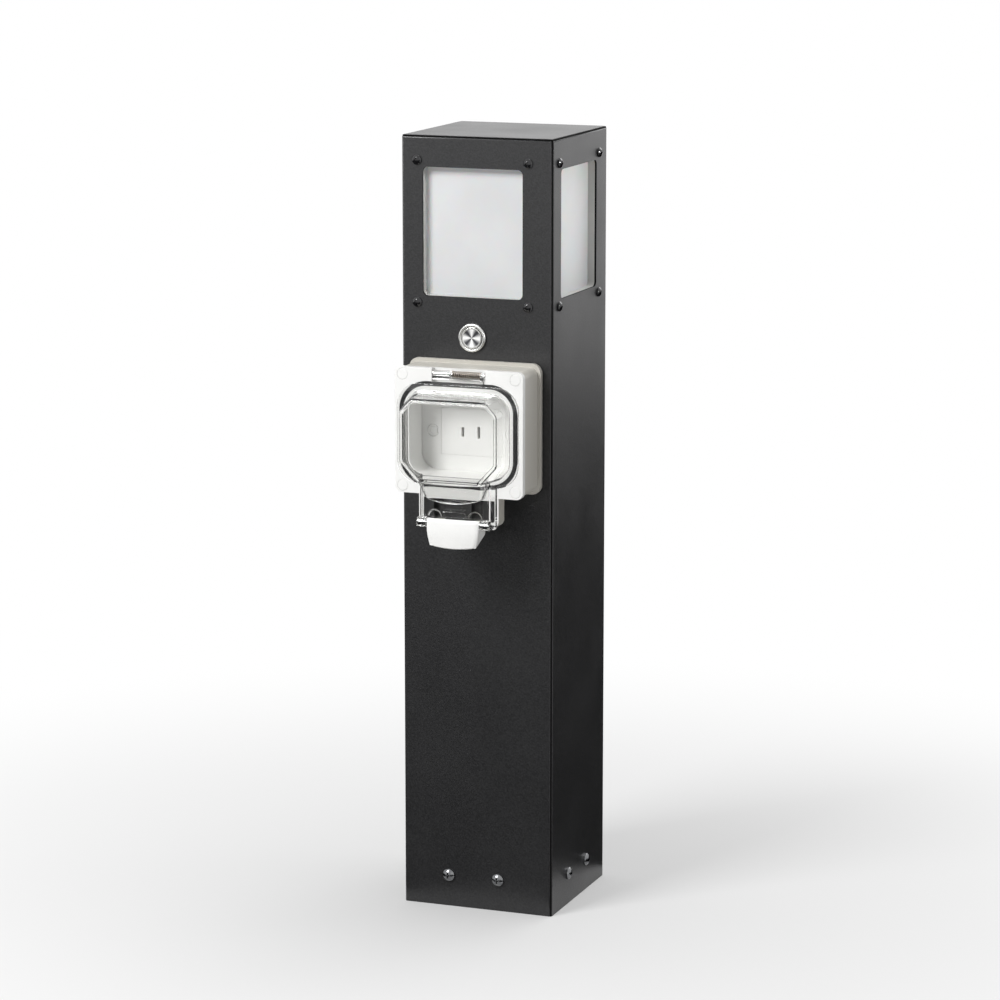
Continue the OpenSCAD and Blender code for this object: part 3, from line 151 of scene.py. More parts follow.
def softbox(name, place, aim, size, power, beam=180):
    """Area lamp of a size in metres and a power in watts, turned from its place towards a
    point; a grid over it narrows its beam to `beam` degrees."""
    lamp = bpy.data.lights.new(name, "AREA")
    lamp.shape = "RECTANGLE"
    lamp.size, lamp.size_y = size
    lamp.energy = power
    lamp.spread = math.radians(beam)
    holder = bpy.data.objects.new(name, lamp)
    holder.location = place
    away = Vector(place) - Vector(aim)
    holder.rotation_mode = "QUATERNION"
    holder.rotation_quaternion = away.to_track_quat("Z", "Y")
    scene.collection.objects.link(holder)


softbox("key_left", (-0.8, -1.5, 1.6), (0, 0, 0.5), (0.8, 0.8), 38)
softbox("fill_right", (2.2, -0.9, 1.5), (0, 0, 0.35), (1.0, 1.6), 0.7)
softbox("head_right", (1.5, -0.2, 0.85), (0, 0, 0.57), (0.2, 0.2), 0.065, 8)
softbox("top", (0.2, 0.3, 2.3), (0, 0, 0.5), (1.4, 1.4), 33)
softbox("fill_back", (0.9, 2.4, 1.7), (0, 0, 0.4), (1.6, 1.2), 14)

# ---- Folded column, cap and corner joint -------------------------------------------
# 1.5 mm steel sheet folded on a press brake into a square post, with the cap let in at
# the top and an angle welded behind the open corner, powder coated anthracite in one go.
# A black sealant bead fills the joint; its near-black stands partly for the shade in the gap.
FACE, TOP = 60.0, 590.0  # half the column's width and its height, in millimetres


def surface(name, colour, roughness, metallic=0.0, **inputs):
    """New material with one Principled shader, whose other inputs are given by name:
    returns material, tree, shader."""
    made = bpy.data.materials.new(name)
    made.use_nodes = True
    tree = made.node_tree
    shader = tree.nodes["Principled BSDF"]
    shader.inputs["Base Color"].default_value = linear(colour)
    shader.inputs["Roughness"].default_value = roughness
    shader.inputs["Metallic"].default_value = metallic
    for key, value in inputs.items():
        shader.inputs[key.replace("_", " ")].default_value = value
    return made, tree, shader


def grain(tree, size, detail=2.0, stretch=(1, 1, 1)):
    """Noise in object space whose lumps are `size` millimetres across; stretch draws it out."""
    place = node(tree, "ShaderNodeTexCoord")
    drawn = node(tree, "ShaderNodeMapping", {"Scale": stretch},
                 {"Vector": place.outputs["Object"]})
    return node(tree, "ShaderNodeTexNoise", {"Scale": 1 / (size * MM), "Detail": detail},
                {"Vector": drawn.outputs[0]}).outputs["Fac"]


def spread(tree, value, low, high, frm=(0.35, 0.65)):
    """Maps a noise value from its usual range to low...high."""
    return node(tree, "ShaderNodeMapRange",
                {"From Min": frm[0], "From Max": frm[1], "To Min": low, "To Max": high},
                {"Value": value}).outputs[0]


def tint(tree, shader, value, dark, light, frm=(0.35, 0.65)):
    """Colours the shader from dark to light by a noise value."""
    mix = node(tree, "ShaderNodeMix", {6: linear(dark), 7: linear(light)},
               {0: spread(tree, value, 0, 1, frm)}, data_type="RGBA")
    tree.links.new(mix.outputs[2], shader.inputs["Base Color"])


def relief(tree, shader, value, depth, strength=1.0):
    """Bump of a depth in millimetres."""
    bump = node(tree, "ShaderNodeBump", {"Strength": strength, "Distance": depth * MM},
                {"Height": value})
    tree.links.new(bump.outputs[0], shader.inputs["Normal"])


# Polyester powder coat, satin with a fine orange-peel grain: soft broad gloss.
powder_coat, tree, shader = surface("powder_coat", "#272728", 0.3)
speckle = grain(tree, 1.1, 3)
tint(tree, shader, speckle, "#212122", "#2e2e2f", (0.34, 0.7))
relief(tree, shader, speckle, 0.1, 1.0)
tree.links.new(spread(tree, grain(tree, 60), 0.28, 0.34), shader.inputs["Roughness"])

# One-part sealant, matt black, wiped smooth; made near black with little gloss, partly as painted
# shade in the joints it fills.
sealant_and_shade, tree, shader = surface("black_sealant_and_painted_shade", "#020202", 0.85, Specular_IOR_Level=0.15)
relief(tree, shader, grain(tree, 2.5), 0.05, 0.4)


def finish(name, material, body="root"):
    """Gives a piece or a CAD node its one material, and a new piece its slot and body."""
    piece = name if isinstance(name, bpy.types.Object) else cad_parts[name]
    piece.data.materials.clear()
    piece.data.materials.append(material)
    if piece.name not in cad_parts:
        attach(piece, body)
    return piece


def rounded(name, material, width, angle=35, segments=3, clamp=True):
    """Copy of a CAD node: its loose triangles merged, its flats joined, its edges that turn
    more than `angle` degrees rounded. width is one size for all of them, or gives sizes
    from the edges' middles, in millimetres."""
    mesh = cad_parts[name].data.copy()
    work = bmesh.new()
    work.from_mesh(mesh)
    bmesh.ops.remove_doubles(work, verts=work.verts, dist=2e-6)
    bmesh.ops.dissolve_limit(work, angle_limit=math.radians(0.6),
                             verts=work.verts, edges=work.edges)
    for face in work.faces:
        face.smooth = True
    work.edges.ensure_lookup_table()
    bends = np.array([edge.calc_face_angle(0) for edge in work.edges])
    ends = np.array([[*edge.verts[0].co, *edge.verts[1].co] for edge in work.edges]) / MM
    middles = (ends[:, :3] + ends[:, 3:]) / 2
    sizes = width(middles) if callable(width) else np.full(len(bends), width)
    widest = float(sizes.max())
    weight = work.edges.layers.float.new("bevel_weight_edge")
    for edge, bend, size in zip(work.edges, bends, sizes):
        edge.smooth = bool(bend < math.radians(angle))
        edge[weight] = 0.0 if edge.smooth else float(size) / widest
    work.to_mesh(mesh)
    work.free()
    piece = bpy.data.objects.new(name + "_made", mesh)
    scene.collection.objects.link(piece)
    edges = piece.modifiers.new("Rounded edges", "BEVEL")
    edges.width = widest * MM
    edges.segments = segments
    edges.limit_method = "WEIGHT"
    edges.use_clamp_overlap = clamp
    edges.harden_normals = True
    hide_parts(name)
    return finish(piece, material)


def repaint(piece, material, chosen):
    """Second material on the faces that chosen() picks from their centres in millimetres."""
    piece.data.materials.append(material)
    centres = np.empty(len(piece.data.polygons) * 3)
    piece.data.polygons.foreach_get("center", centres)
    picked = chosen(centres.reshape(-1, 3) / MM)
    piece.data.polygons.foreach_set("material_index", picked.astype(np.int32))


def sheet_edges(middles):
    """Radii of the shell's outer edges: 0.9 mm along the open joint and 1.1 round the top;
    the laser-cut edges stay sharp."""
    outer = np.abs(middles[:, :2]).max(1) > FACE - 0.1
    joint = outer & (middles[:, 0] > FACE - 2) & (middles[:, 1] < 2 - FACE)
    return np.where(joint, 0.9, np.where(outer & (middles[:, 2] > TOP - 1.4), 1.1, 0))


def window_cuts(centres):
    """Cut edges of the window openings: faces inside the sheet's 1.5 mm, away from the
    corners and at the windows' height."""
    inside, beside = np.abs(centres[:, :2]).max(1), np.abs(centres[:, :2]).min(1)
    return ((inside > FACE - 1.4) & (inside < FACE - 0.1) & (beside < FACE - 8)
            & (centres[:, 2] > TOP - 135) & (centres[:, 2] < TOP - 10))


shell = rounded("column_shell", powder_coat, sheet_edges, clamp=False)
# The cut edges of the window openings take the black sealant: partly bedding for the frames, partly
# painted shade on those edges.
repaint(shell, sealant_and_shade, window_cuts)  # it beds the frames and blacks the cut edges
rounded("cap_plate", powder_coat, 0.3)
finish("seam_angle", powder_coat)
# The corner joint's bead: real sealant, its near-black also painted shade in the gap.
finish("joint_sealant", sealant_and_shade)

# ---- Foot --------------------------------------------------------------------------
# Zinc-plated base plate with four tabs; stainless pan-head screws hold the column on
# the rivet nuts in them. The rubber bush keeps the supply cable off the plate's edge.

# Bright zinc on steel: pale, with a faint cloudy spangle.
zinc, tree, shader = surface("zinc_plate", "#b7babd", 0.38, 1.0)
tint(tree, shader, grain(tree, 9, 3), "#a4a8ac", "#c3c6c9")
tree.links.new(spread(tree, grain(tree, 3), 0.3, 0.46), shader.inputs["Roughness"])

# Turned stainless steel: bright, with fine turning lines.
stainless, tree, shader = surface("stainless_steel", "#b4b5b6", 0.16, 1.0)
relief(tree, shader, grain(tree, 0.9, 2), 0.004, 0.2)
tree.links.new(spread(tree, grain(tree, 1.5), 0.12, 0.2), shader.inputs["Roughness"])

# The same steel on the foot's screws, its colour darkened as a painted dark reflection.
dark_reflection_stainless, tree, shader = surface("stainless_steel_painted_dark_reflection", "#7f8082", 0.18, 1.0)
tint(tree, shader, grain(tree, 2.5, 3), "#6f7073", "#8c8d8e")
tree.links.new(spread(tree, grain(tree, 1.5), 0.12, 0.26), shader.inputs["Roughness"])

# Moulded EPDM rubber: matt, near black; on the socket housing it is painted shade behind the slots.
rubber_and_slot_shade, tree, shader = surface("black_rubber", "#101011", 0.68)
relief(tree, shader, grain(tree, 0.8, 3), 0.03, 0.5)

for name in ("base_plate", "base_rivnuts", "lamp_shelf"):
    finish(name, zinc)
# The foot's screws take the darkened steel: painted dark reflection.
finish("base_screws", dark_reflection_stainless)
for name in ("window_nuts", "lamp_screws", "driver_screws", "button_nut",
             "box_screws", "box_nuts", "frame_screws", "plate_screws", "terminal_screws",
             "hinge_pin", "latch_pin"):
    finish(name, stainless)
for name in ("cable_grommet", "button_seal", "box_gasket", "cable_seal"):
    finish(name, rubber_and_slot_shade)

# ---- Lantern windows ---------------------------------------------------------------
# Each opal acrylic pane is clamped behind the sheet by a light grey moulded frame and
# four black screws.

# Cast opal acrylic: milky, half gloss, light spreads a little inside it.
opal, tree, shader = surface("opal_acrylic", "#d8d9da", 0.3, IOR=1.49,
                             Subsurface_Weight=0.25, Subsurface_Scale=0.003)
tint(tree, shader, grain(tree, 40), "#d3d4d5", "#d7d8d9")

# Moulded ABS in light grey, spark-eroded: matt with a very fine grain.
grey_abs, tree, shader = surface("grey_abs", "#b9b9b6", 0.5, IOR=1.53)
relief(tree, shader, grain(tree, 0.5, 2), 0.02, 0.4)

# Black oxide steel with an oily shine.
black_screw, tree, shader = surface("black_oxide_steel", "#1c1c1e", 0.12, 0.3,
                                    Coat_Weight=0.5)
relief(tree, shader, grain(tree, 0.7, 2), 0.004, 0.3)

for side in ("front", "right", "rear", "left"):
    finish("diffuser_" + side, opal)
    rounded("window_spacer_" + side, grey_abs, 0.3)
finish("window_screws", black_screw)

# ---- Lamp inside the head ----------------------------------------------------------
# Square extruded aluminium post, screwed to the shelf, with white circuit boards and
# yellow chips on its four sides; the driver hangs below the shelf.

# Extruded aluminium with fine draw lines up and down.
aluminium, tree, shader = surface("extruded_aluminium", "#c2c4c6", 0.34, 1.0)
relief(tree, shader, grain(tree, 0.8, 2, (1, 1, 0.02)), 0.02, 0.6)

# White solder resist on the circuit boards.
board, tree, shader = surface("white_solder_resist", "#eeeeea", 0.4)
relief(tree, shader, grain(tree, 1.5, 2), 0.01, 0.3)

# Phosphor in silicone on the chips: matt yellow.
phosphor, tree, shader = surface("yellow_phosphor", "#ecc34a", 0.45)
tint(tree, shader, grain(tree, 1.0, 2), "#e5b93c", "#f2d067")

finish("led_heat_sink", aluminium)
finish("led_boards", board)
finish("led_chips", phosphor)

# ---- Contacts and leads ------------------------------------------------------------
# Stamped brass contacts and terminals, pressed into their housings, and the leads that
# run from them up and down the column.

# Bare brass, lightly tarnished.
brass, tree, shader = surface("bare_brass", "#c9a256", 0.3, 1.0)
tint(tree, shader, grain(tree, 3, 2), "#b99047", "#d2ae63")
for name in ("socket_contacts", "socket_terminals", "button_terminals", "earth_stud"):
    finish(name, brass)

# Soft PVC insulation: brown on the left, blue on the right.
insulation, tree, shader = surface("pvc_insulation", "#3465a8", 0.45)
sideways = node(tree, "ShaderNodeSeparateXYZ",
                links={0: node(tree, "ShaderNodeTexCoord").outputs["Object"]}).outputs[0]
tint(tree, shader, sideways, "#6e4326", "#2f5fa6", (-0.0005, 0.0005))
relief(tree, shader, grain(tree, 1.2, 2), 0.02, 0.3)
for name in ("power_leads", "lamp_leads", "button_leads"):
    finish(name, insulation)

# ---- Socket box --------------------------------------------------------------------
# Two ABS mouldings: a deep light grey back, partly painted shade, screwed to the column through
# a gasket, and a glossy white front frame with the well, screwed to the back. Caps cover its
# screws.

# Moulded ABS, white and glossy, with the faint waviness of a thick wall.
white_abs, tree, shader = surface("white_abs", "#f2f2f0", 0.24, IOR=1.53)
tint(tree, shader, grain(tree, 30), "#f0f0ee", "#f4f4f2")
relief(tree, shader, grain(tree, 14, 1), 0.03, 0.3)

# The same ABS with a fine grain on the box's sides, in a grey that is partly painted shade.
pale_shaded_abs, tree, shader = surface("pale_grey_abs_partly_painted_shade", "#c4c1b9", 0.36, IOR=1.53)
relief(tree, shader, grain(tree, 0.6, 2), 0.015, 0.4)

BOX_TOP, HINGE_WALL, TONGUE_TOP = 422.45, -93.3, 327


def frame_edges(middles):
    """Radii of the frame's edges: 0.6 mm, but sharp over the thin wall behind the hinge."""
    return np.where((middles[:, 2] > BOX_TOP - 0.15) & (middles[:, 1] > HINGE_WALL), 0, 0.6)


rounded("box_back", pale_shaded_abs, 1.3)
box_front = rounded("box_frame", white_abs, frame_edges)
# Below TONGUE_TOP the frame's tongue takes this darker ABS: painted shade on it.
repaint(box_front, pale_shaded_abs, lambda centres: centres[:, 2] < TONGUE_TOP)
for name in ("screw_caps", "plate_caps"):
    rounded(name, white_abs, 0.55)
for name in ("socket_plate", "socket_insert"):
    rounded(name, white_abs, 0.35)
for name in ("led_driver", "terminal_block"):
    finish(name, white_abs)
# The socket housing takes the black rubber so that its slots look dark: painted shade.
finish("socket_housing", rubber_and_slot_shade)
finish("frame_seal", rubber_and_slot_shade)

# ---- Push button -------------------------------------------------------------------
# Vandal-proof push button turned from stainless steel, held by a nut behind the sheet: a
# rounded collar, and a disc whose faced-off dish has painted highlights in four sectors.
# Its switch is moulded in black nylon.
BUTTON = np.array([-3.5, -FACE, 440.6])

# Glass-filled nylon: black, matt, finely grained.
black_pa, tree, shader = surface("black_nylon", "#1a1a1c", 0.5)
relief(tree, shader, grain(tree, 0.8, 2), 0.02, 0.4)
finish("button_switch", black_pa)


def skin(name, rings, ends=True):
    """Closed skin over rings[m, n, 3] in millimetres: quads join neighbours in a ring and
    from ring to ring; one face fills each end ring, or the last ring meets the first."""
    m, n = rings.shape[:2]
    rows = m - 1 if ends else m
    i, k = np.meshgrid(np.arange(rows), np.arange(n), indexing="ij")
    here, there = i * n, (i + 1) % m * n
    after = (k + 1) % n
    faces = np.stack([here + k, here + after, there + after, there + k], -1)
    faces = faces.reshape(-1, 4).tolist()
    if ends:
        faces += [list(range(n))[::-1], list(range((m - 1) * n, m * n))]
    mesh = bpy.data.meshes.new(name)
    mesh.from_pydata((rings.reshape(-1, 3) * MM).tolist(), [], faces)
    work = bmesh.new()
    work.from_mesh(mesh)
    bmesh.ops.remove_doubles(work, verts=work.verts, dist=1e-7)
    bmesh.ops.recalc_face_normals(work, faces=work.faces)
    work.to_mesh(mesh)
    work.free()
    mesh.shade_smooth()
    piece = bpy.data.objects.new(name, mesh)
    scene.collection.objects.link(piece)
    return piece


def crisp(piece, angle=30):
    """Keeps edges that turn more than an angle crisp, and shades flats flat up to their
    rounded edges."""
    piece.data.set_sharp_from_angle(angle=math.radians(angle))
    flat = piece.modifiers.new("Flat shading of flats", "WEIGHTED_NORMAL")
    flat.keep_sharp = True
    return piece


def turned(name, profile, centre, steps=96, ends=True):
    """Lathe work along the front normal: (r, out) points in millimetres, turned round it."""
    r, out = np.array(profile, float).T
    a = np.linspace(0, 2 * np.pi, steps, endpoint=False)
    rings = np.stack(np.broadcast_arrays(
        r[:, None] * np.cos(a), -out[:, None] + 0 * a, r[:, None] * np.sin(a)), -1) + centre
    return skin(name, rings, ends)


def fillet(points, radii, steps=4):
    """Profile with its corners rounded: each corner becomes a quadratic curve of `steps` + 1
    points between the two places that lie its radius away along the neighbouring sides."""
    points = [np.array(p, float) for p in points]
    out = []
    for i, (p, r) in enumerate(zip(points, radii)):
        if r == 0:
            out.append(p)
            continue
        a, b = points[i - 1] - p, points[(i + 1) % len(points)] - p
        a, b = p + a / np.linalg.norm(a) * r, p + b / np.linalg.norm(b) * r
        t = np.linspace(0, 1, steps + 1)[:, None]
        out.extend((1 - t) ** 2 * a + 2 * t * (1 - t) * p + t ** 2 * b)
    return out


# Stainless steel faced on a lathe: the turning marks stretch each highlight across them,
# which the anisotropy gives.
spun, tree, shader = surface("spun_stainless_steel", "#d8d8d6", 0.2, 1.0, Anisotropic=0.7)
relief(tree, shader, grain(tree, 1.0, 2), 0.002, 0.2)
radial = node(tree, "ShaderNodeTangent", direction_type="RADIAL", axis="Y")
tree.links.new(radial.outputs[0], shader.inputs["Tangent"])

# The colour of the disc's dish has four bright and four dull sectors, painted highlight and
# painted shade, 0.5 + 0.5 * cos(4 * angle); its roughness follows the same wave.
sector_highlit_steel, tree, shader = surface("stainless_steel_painted_sector_highlights", "#cfcfcd", 0.26, 1.0)
place = node(tree, "ShaderNodeMapping", {"Location": (BUTTON * -MM).tolist()},
             {"Vector": node(tree, "ShaderNodeTexCoord").outputs["Object"]})
along = node(tree, "ShaderNodeSeparateXYZ", links={0: place.outputs[0]})
angle = node(tree, "ShaderNodeMath", operation="ARCTAN2",
             links={0: along.outputs[2], 1: along.outputs[0]})
four = node(tree, "ShaderNodeMath", {1: 4.0}, {0: angle.outputs[0]}, operation="MULTIPLY")
wave = node(tree, "ShaderNodeMath", operation="COSINE", links={0: four.outputs[0]})
tint(tree, shader, wave.outputs[0], "#55565a", "#fbfbfa", (-1.0, 0.8))
tree.links.new(spread(tree, wave.outputs[0], 0.2, 0.5, (-1, 1)), shader.inputs["Roughness"])

collar = turned("button_collar", fillet(
    [(8.03, -12), (8.03, 1.5), (8.9, 2.5), (9.3, 2.7), (10.3, 2.5), (11.0, 1.4), (11.0, 0.5),
     (9.4, 0.5), (9.4, -20), (7.4, -20), (7.4, -14), (4.08, -14), (4.08, -12)],
    [0, 0.1, 0.2, 0.3, 0.4, 0.3, 0.15, 0, 0, 0, 0, 0, 0]), BUTTON, ends=False)
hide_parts("button_bezel")
finish(crisp(collar), spun)
disc = turned("button_disc", [
    (0.02, -14.8), (4.0, -14.8), (4.0, -6.0), (7.95, -6.0), (7.95, 2.1), (7.85, 2.3), (7.6, 2.4),
    (7.2, 2.35), (6.95, 2.15), (6.8, 2.05), (4.0, 1.98), (2.0, 1.95), (0.02, 1.93)], BUTTON)
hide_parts("button_plunger")
finish(crisp(disc), spun, "button")


def dished(centres):
    """Faces of the disc's dish: within its rim, and out in front."""
    x, y, z = (centres - BUTTON).T
    return (np.hypot(x, z) < 6.85) & (y < -1.5)


# The dish takes the sectors of painted highlight and shade.
repaint(disc, sector_highlit_steel, dished)


def coil(name, centre, radius, wire, pitch, turns, axis, steps=24, sides=10):
    """Round wire on a helix: the middle is radius * (cos a, sin a) round the axis and moves
    pitch * a / 2 pi along it; each ring of the wire stands square to that path."""
    a = np.linspace(0, 2 * np.pi * turns, int(turns * steps) + 1)[:, None]
    b = np.linspace(0, 2 * np.pi, sides, endpoint=False)
    slope = math.atan2(pitch, 2 * np.pi * radius)
    out = radius + wire / 2 * np.cos(b)
    along = wire / 2 * np.sin(b)
    u = out * np.cos(a) + along * math.sin(slope) * np.sin(a)
    v = out * np.sin(a) - along * math.sin(slope) * np.cos(a)
    w = pitch * a / (2 * np.pi) + along * math.cos(slope)
    parts = {"x": (w, v, u), "-y": (u, -w, v)}[axis]
    return skin(name, np.stack(parts, -1) + np.array(centre))


# Return spring of three turns, seated on the collar's web 12 mm behind the sheet's face.
spring = coil("return_spring", BUTTON + (0, 12 - 0.3, 0), 5.6, 0.5, 3.1 / 3, 3, "-y")
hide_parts("button_spring")
finish(spring, stainless)

# ---- Marks on the plate caps -------------------------------------------------------
# Raised C-shaped ribs, moulded in white ABS on the two small caps over the plate's
# screws, where a fingernail or blade lifts them.
PLATE_Z, CAP_X, CAP_OUT = 371.5, 30.15, 11.9


def on_face(x, z, out):
    """Points of the front: x to the right, height z, `out` from the sheet, in millimetres."""
    return np.stack(np.broadcast_arrays(x, -FACE - np.asarray(out, float), z), -1)


def arch(name, x, z, r, wide=1.3, high=1.0, level=45.2, turn=(0, np.pi)):
    """Round rib on a face at `level`, r from (x, z) to its middle, over the angles of turn."""
    t = np.linspace(*turn, 28)[:, None]
    b = np.linspace(0, 2 * np.pi, 10, endpoint=False)
    reach = r + wide / 2 * np.cos(b)
    out = level + high * np.clip(np.sin(b), -0.6, 1)
    return skin(name, on_face(x + reach * np.cos(t), z + reach * np.sin(t), out + 0 * t))


for side, x in (("left", -CAP_X), ("right", CAP_X)):
    mark = arch("plate_cap_mark_" + side, x, PLATE_Z, 2.6, 0.9, 0.35, CAP_OUT, (0.9, 5.4))
    finish(mark, white_abs)

# ---- Clear cover -------------------------------------------------------------------
# One polycarbonate moulding: a flange that presses on the seal, a deep dome with a
# chamfered front, a shallow tray over the tongue, a curved hood over the cable outlet,
# a hinge strap with knuckles and two latch ears.
COVER_BACK, COVER_FACE, FLANGE_FACE = 38.4, 61.0, 40.9
WELL_Z = 373.5
HINGE, LATCH_PIN = (418.3, 36.0), (309.0, 48.6)  # (z, out) of the two pins, in millimetres

# Clear polycarbonate: glossy, with the faint waviness of a moulding.
# Light that falls on what it covers, from lamps or the room, goes straight through it.
clear_pc, tree, shader = surface("clear_polycarbonate", "#fafaf9", 0.01, IOR=1.585,
                                 Transmission_Weight=1.0)
relief(tree, shader, grain(tree, 18, 1), 0.02, 0.2)
unbent = node(tree, "ShaderNodeBsdfTransparent", {"Color": linear("#fdfdfd")}).outputs[0]
path, mixed = node(tree, "ShaderNodeLightPath"), shader
for ray in ("Is Diffuse Ray", "Is Shadow Ray"):
    mixed = node(tree, "ShaderNodeMixShader",
                 links={0: path.outputs[ray], 1: mixed.outputs[0], 2: unbent})
tree.links.new(mixed.outputs[0], tree.nodes["Material Output"].inputs["Surface"])


def outline(middle, corners, side=6):
    """Closed outline from four corners' points, (t, 2) each as if in the upper right quarter,
    turned into place; straight sides of `side` points join them."""
    signs = [(1, -1), (1, 1), (-1, 1), (-1, -1)]
    placed = []
    for (sx, sz), corner in zip(signs, corners):
        c = corner if sx * sz > 0 else corner[::-1]
        placed.append(c * (sx, sz))
    t = np.linspace(0, 1, side + 2)[1:-1, None]
    loop = []
    for here, after in zip(placed, placed[1:] + placed[:1]):
        loop += [here, here[-1] + (after[0] - here[-1]) * t]
    return np.vstack(loop) + (0, middle)


def round_corner(w, h, r, count=12):
    """Quarter circle of radius r in the upper right corner of a w by h rectangle."""
    a = np.linspace(0, np.pi / 2, count)
    return np.stack([w / 2 - r + r * np.cos(a), h / 2 - r + r * np.sin(a)], -1)


def cut_corner(w, h, cut_x, cut_z, soft=1.3, count=12):
    """Chamfer in the same corner: a straight cut whose two ends are softened over `soft`."""
    low, high = np.array([w / 2, h / 2 - cut_z]), np.array([w / 2 - cut_x, h / 2])
    run = (high - low) / np.linalg.norm(high - low) * soft
    half = count // 2
    t = np.linspace(0, 1, half)[:, None]
    first = (1 - t) ** 2 * (low - (0, soft)) + 2 * t * (1 - t) * low + t ** 2 * (low + run)
    last = (1 - t) ** 2 * (high - run) + 2 * t * (1 - t) * high + t ** 2 * (high - (soft, 0))
    return np.vstack([first, last])


def plain_outline(w, h, r, middle):
    """Rounded rectangle round a middle height."""
    return outline(middle, [round_corner(w, h, r)] * 4)


def dome_outline(part, shrink):
    """Outline of the dome at `part` of its depth: from an 83 by 65 foot with corners of 14
    to a 76 by 62 front with its lower corners cut wide and its upper ones narrow; each
    point moves straight. A wall of `shrink` takes 0.59 of itself off each cut."""
    w, h = 83 - 2 * shrink, 65 - 2 * shrink
    foot = plain_outline(w, h, max(14 - shrink, 1), WELL_Z)
    w, h, less = 76 - 2 * shrink, 62 - 2 * shrink, 0.59 * shrink
    low, high = cut_corner(w, h, 14 - less, 15 - less), cut_corner(w, h, 8.5 - less, 9.5 - less)
    return foot + (outline(WELL_Z - 2.3, [low, high, high, low]) - foot) * part


def stacked(rows):
    """Rings from (outline, out) rows."""
    return np.array([on_face(o[:, 0], o[:, 1], out) for o, out in rows])


def drawn_in(loop, out, scales):
    """Rows of an outline scaled towards its middle on one level."""
    middle = loop.mean(0)
    return [(middle + (loop - middle) * k, out) for k in scales]


def dome(shrink, back):
    """Rows of the dome, shrunk by its wall for the hollow, with a rounded front edge."""
    front, soft = COVER_FACE - shrink, 1.6 - 0.4 * shrink
    rows = [(dome_outline((out - COVER_BACK) / (COVER_FACE - COVER_BACK), shrink), out)
            for out in np.linspace(back, front - soft, 7)]
    for a in np.linspace(0, np.pi / 2, 6)[1:]:
        rows.append((dome_outline(1, shrink + soft * (1 - math.cos(a))),
                     front - soft + soft * math.sin(a)))
    last = dome_outline(1, shrink + soft)
    return rows + drawn_in(last, front, (0.985, 0.9, 0.6, 0.3, 0.02))


def flange_outline(shrink):
    """Rounded rectangle of the flange, 96 by 75 with corners of 18."""
    return plain_outline(96 - 2 * shrink, 75 - 2 * shrink, 18 - shrink, WELL_Z)


flange_rows = drawn_in(flange_outline(0.5), COVER_BACK, (0.02, 0.5, 0.95))
flange_rows += [(flange_outline(0.5), COVER_BACK), (flange_outline(0.15), COVER_BACK + 0.15),
                (flange_outline(0), COVER_BACK + 0.5), (flange_outline(0), FLANGE_FACE - 0.5),
                (flange_outline(0.15), FLANGE_FACE - 0.15), (flange_outline(0.5), FLANGE_FACE),
                (flange_outline(0.9), FLANGE_FACE)]
flange_rows += [(dome_outline(0.11, -1.4), FLANGE_FACE), (dome_outline(0.11, -1.0), FLANGE_FACE),
                (dome_outline(0.12, -0.3), FLANGE_FACE + 0.3)]
cover = skin("cover_clear", stacked(flange_rows + dome(0, FLANGE_FACE + 1.0)))
dome_room = skin("dome_room", stacked(
    drawn_in(dome_outline(0, 2.2), COVER_BACK - 1, (0.02, 0.6)) + dome(2.2, COVER_BACK - 1)))


def slab(name, x, z, out, r, soft, taper=0.0):
    """Block with rounded corners r and softened edges between out[0] and out[1]; its front
    is smaller by `taper` on every side but the top."""
    w, h, middle = x[1] - x[0], z[1] - z[0], (z[0] + z[1]) / 2
    rows = []
    steps = [(out[0], 0.0, 0), (out[0] + soft, 0.0, 0)]
    steps += [(out[1] - soft + soft * math.sin(a), 1.0, 1 - math.cos(a))
              for a in np.linspace(0, np.pi / 2, 4)]
    for level, part, inset in steps:
        less = taper * part + soft * inset
        high = h - less - soft * inset
        radius = min(max(r - less * 0.3, 0.2), high / 2 - 0.05)
        loop = plain_outline(w - 2 * less, high, radius, middle + taper * part / 2)
        rows.append((loop + ((x[0] + x[1]) / 2, 0), level))
    first, last = rows[0][0], rows[-1][0]
    return skin(name, stacked(
        drawn_in(first, out[0], (0.02,)) + rows + drawn_in(last, out[1], (0.97, 0.02))))


def across(name, x0, x1, shape, soft=0.25):
    """Bar along x from a closed (z, out) outline, its two ends softened."""
    shape = np.array(shape, float)
    middle = shape.mean(0)
    reach = np.abs(shape - middle).max()
    rings = []
    for x, less in ((x0, soft), (x0 + soft * 0.3, soft * 0.3), (x0 + soft, 0),
                    (x1 - soft, 0), (x1 - soft * 0.3, soft * 0.3), (x1, soft)):
        ring = middle + (shape - middle) * (1 - less / reach)
        rings.append(on_face(x, ring[:, 0], ring[:, 1]))
    return skin(name, np.array(rings))


def lug(z, out, r, back, steps=20):
    """Half round of radius r about (z, out) carried straight to the level `back`."""
    side = np.sign(out - back)
    a = np.linspace(-np.pi / 2, np.pi / 2, steps)
    nose = np.stack([z + r * np.sin(a), out + side * r * np.cos(a)], -1)
    return np.vstack([nose, [[z + r, back], [z - r, back]]])


def rod(name, x0, x1, z, out, r, steps=32):
    """Round bar along x."""
    a = np.linspace(0, 2 * np.pi, steps, endpoint=False)
    return across(name, x0, x1, np.stack([z + r * np.cos(a), out + r * np.sin(a)], -1), 0.01)


HOOD_LOW = 324.5


def squared(a, half, back, reach):
    """Squared half-ellipse in plan: x = half * cos(a), out = back + reach * sin(a), both with
    the power 0.42."""
    return (half * np.sign(np.cos(a)) * np.abs(np.cos(a)) ** 0.42,
            back + reach * np.sin(a) ** 0.42)


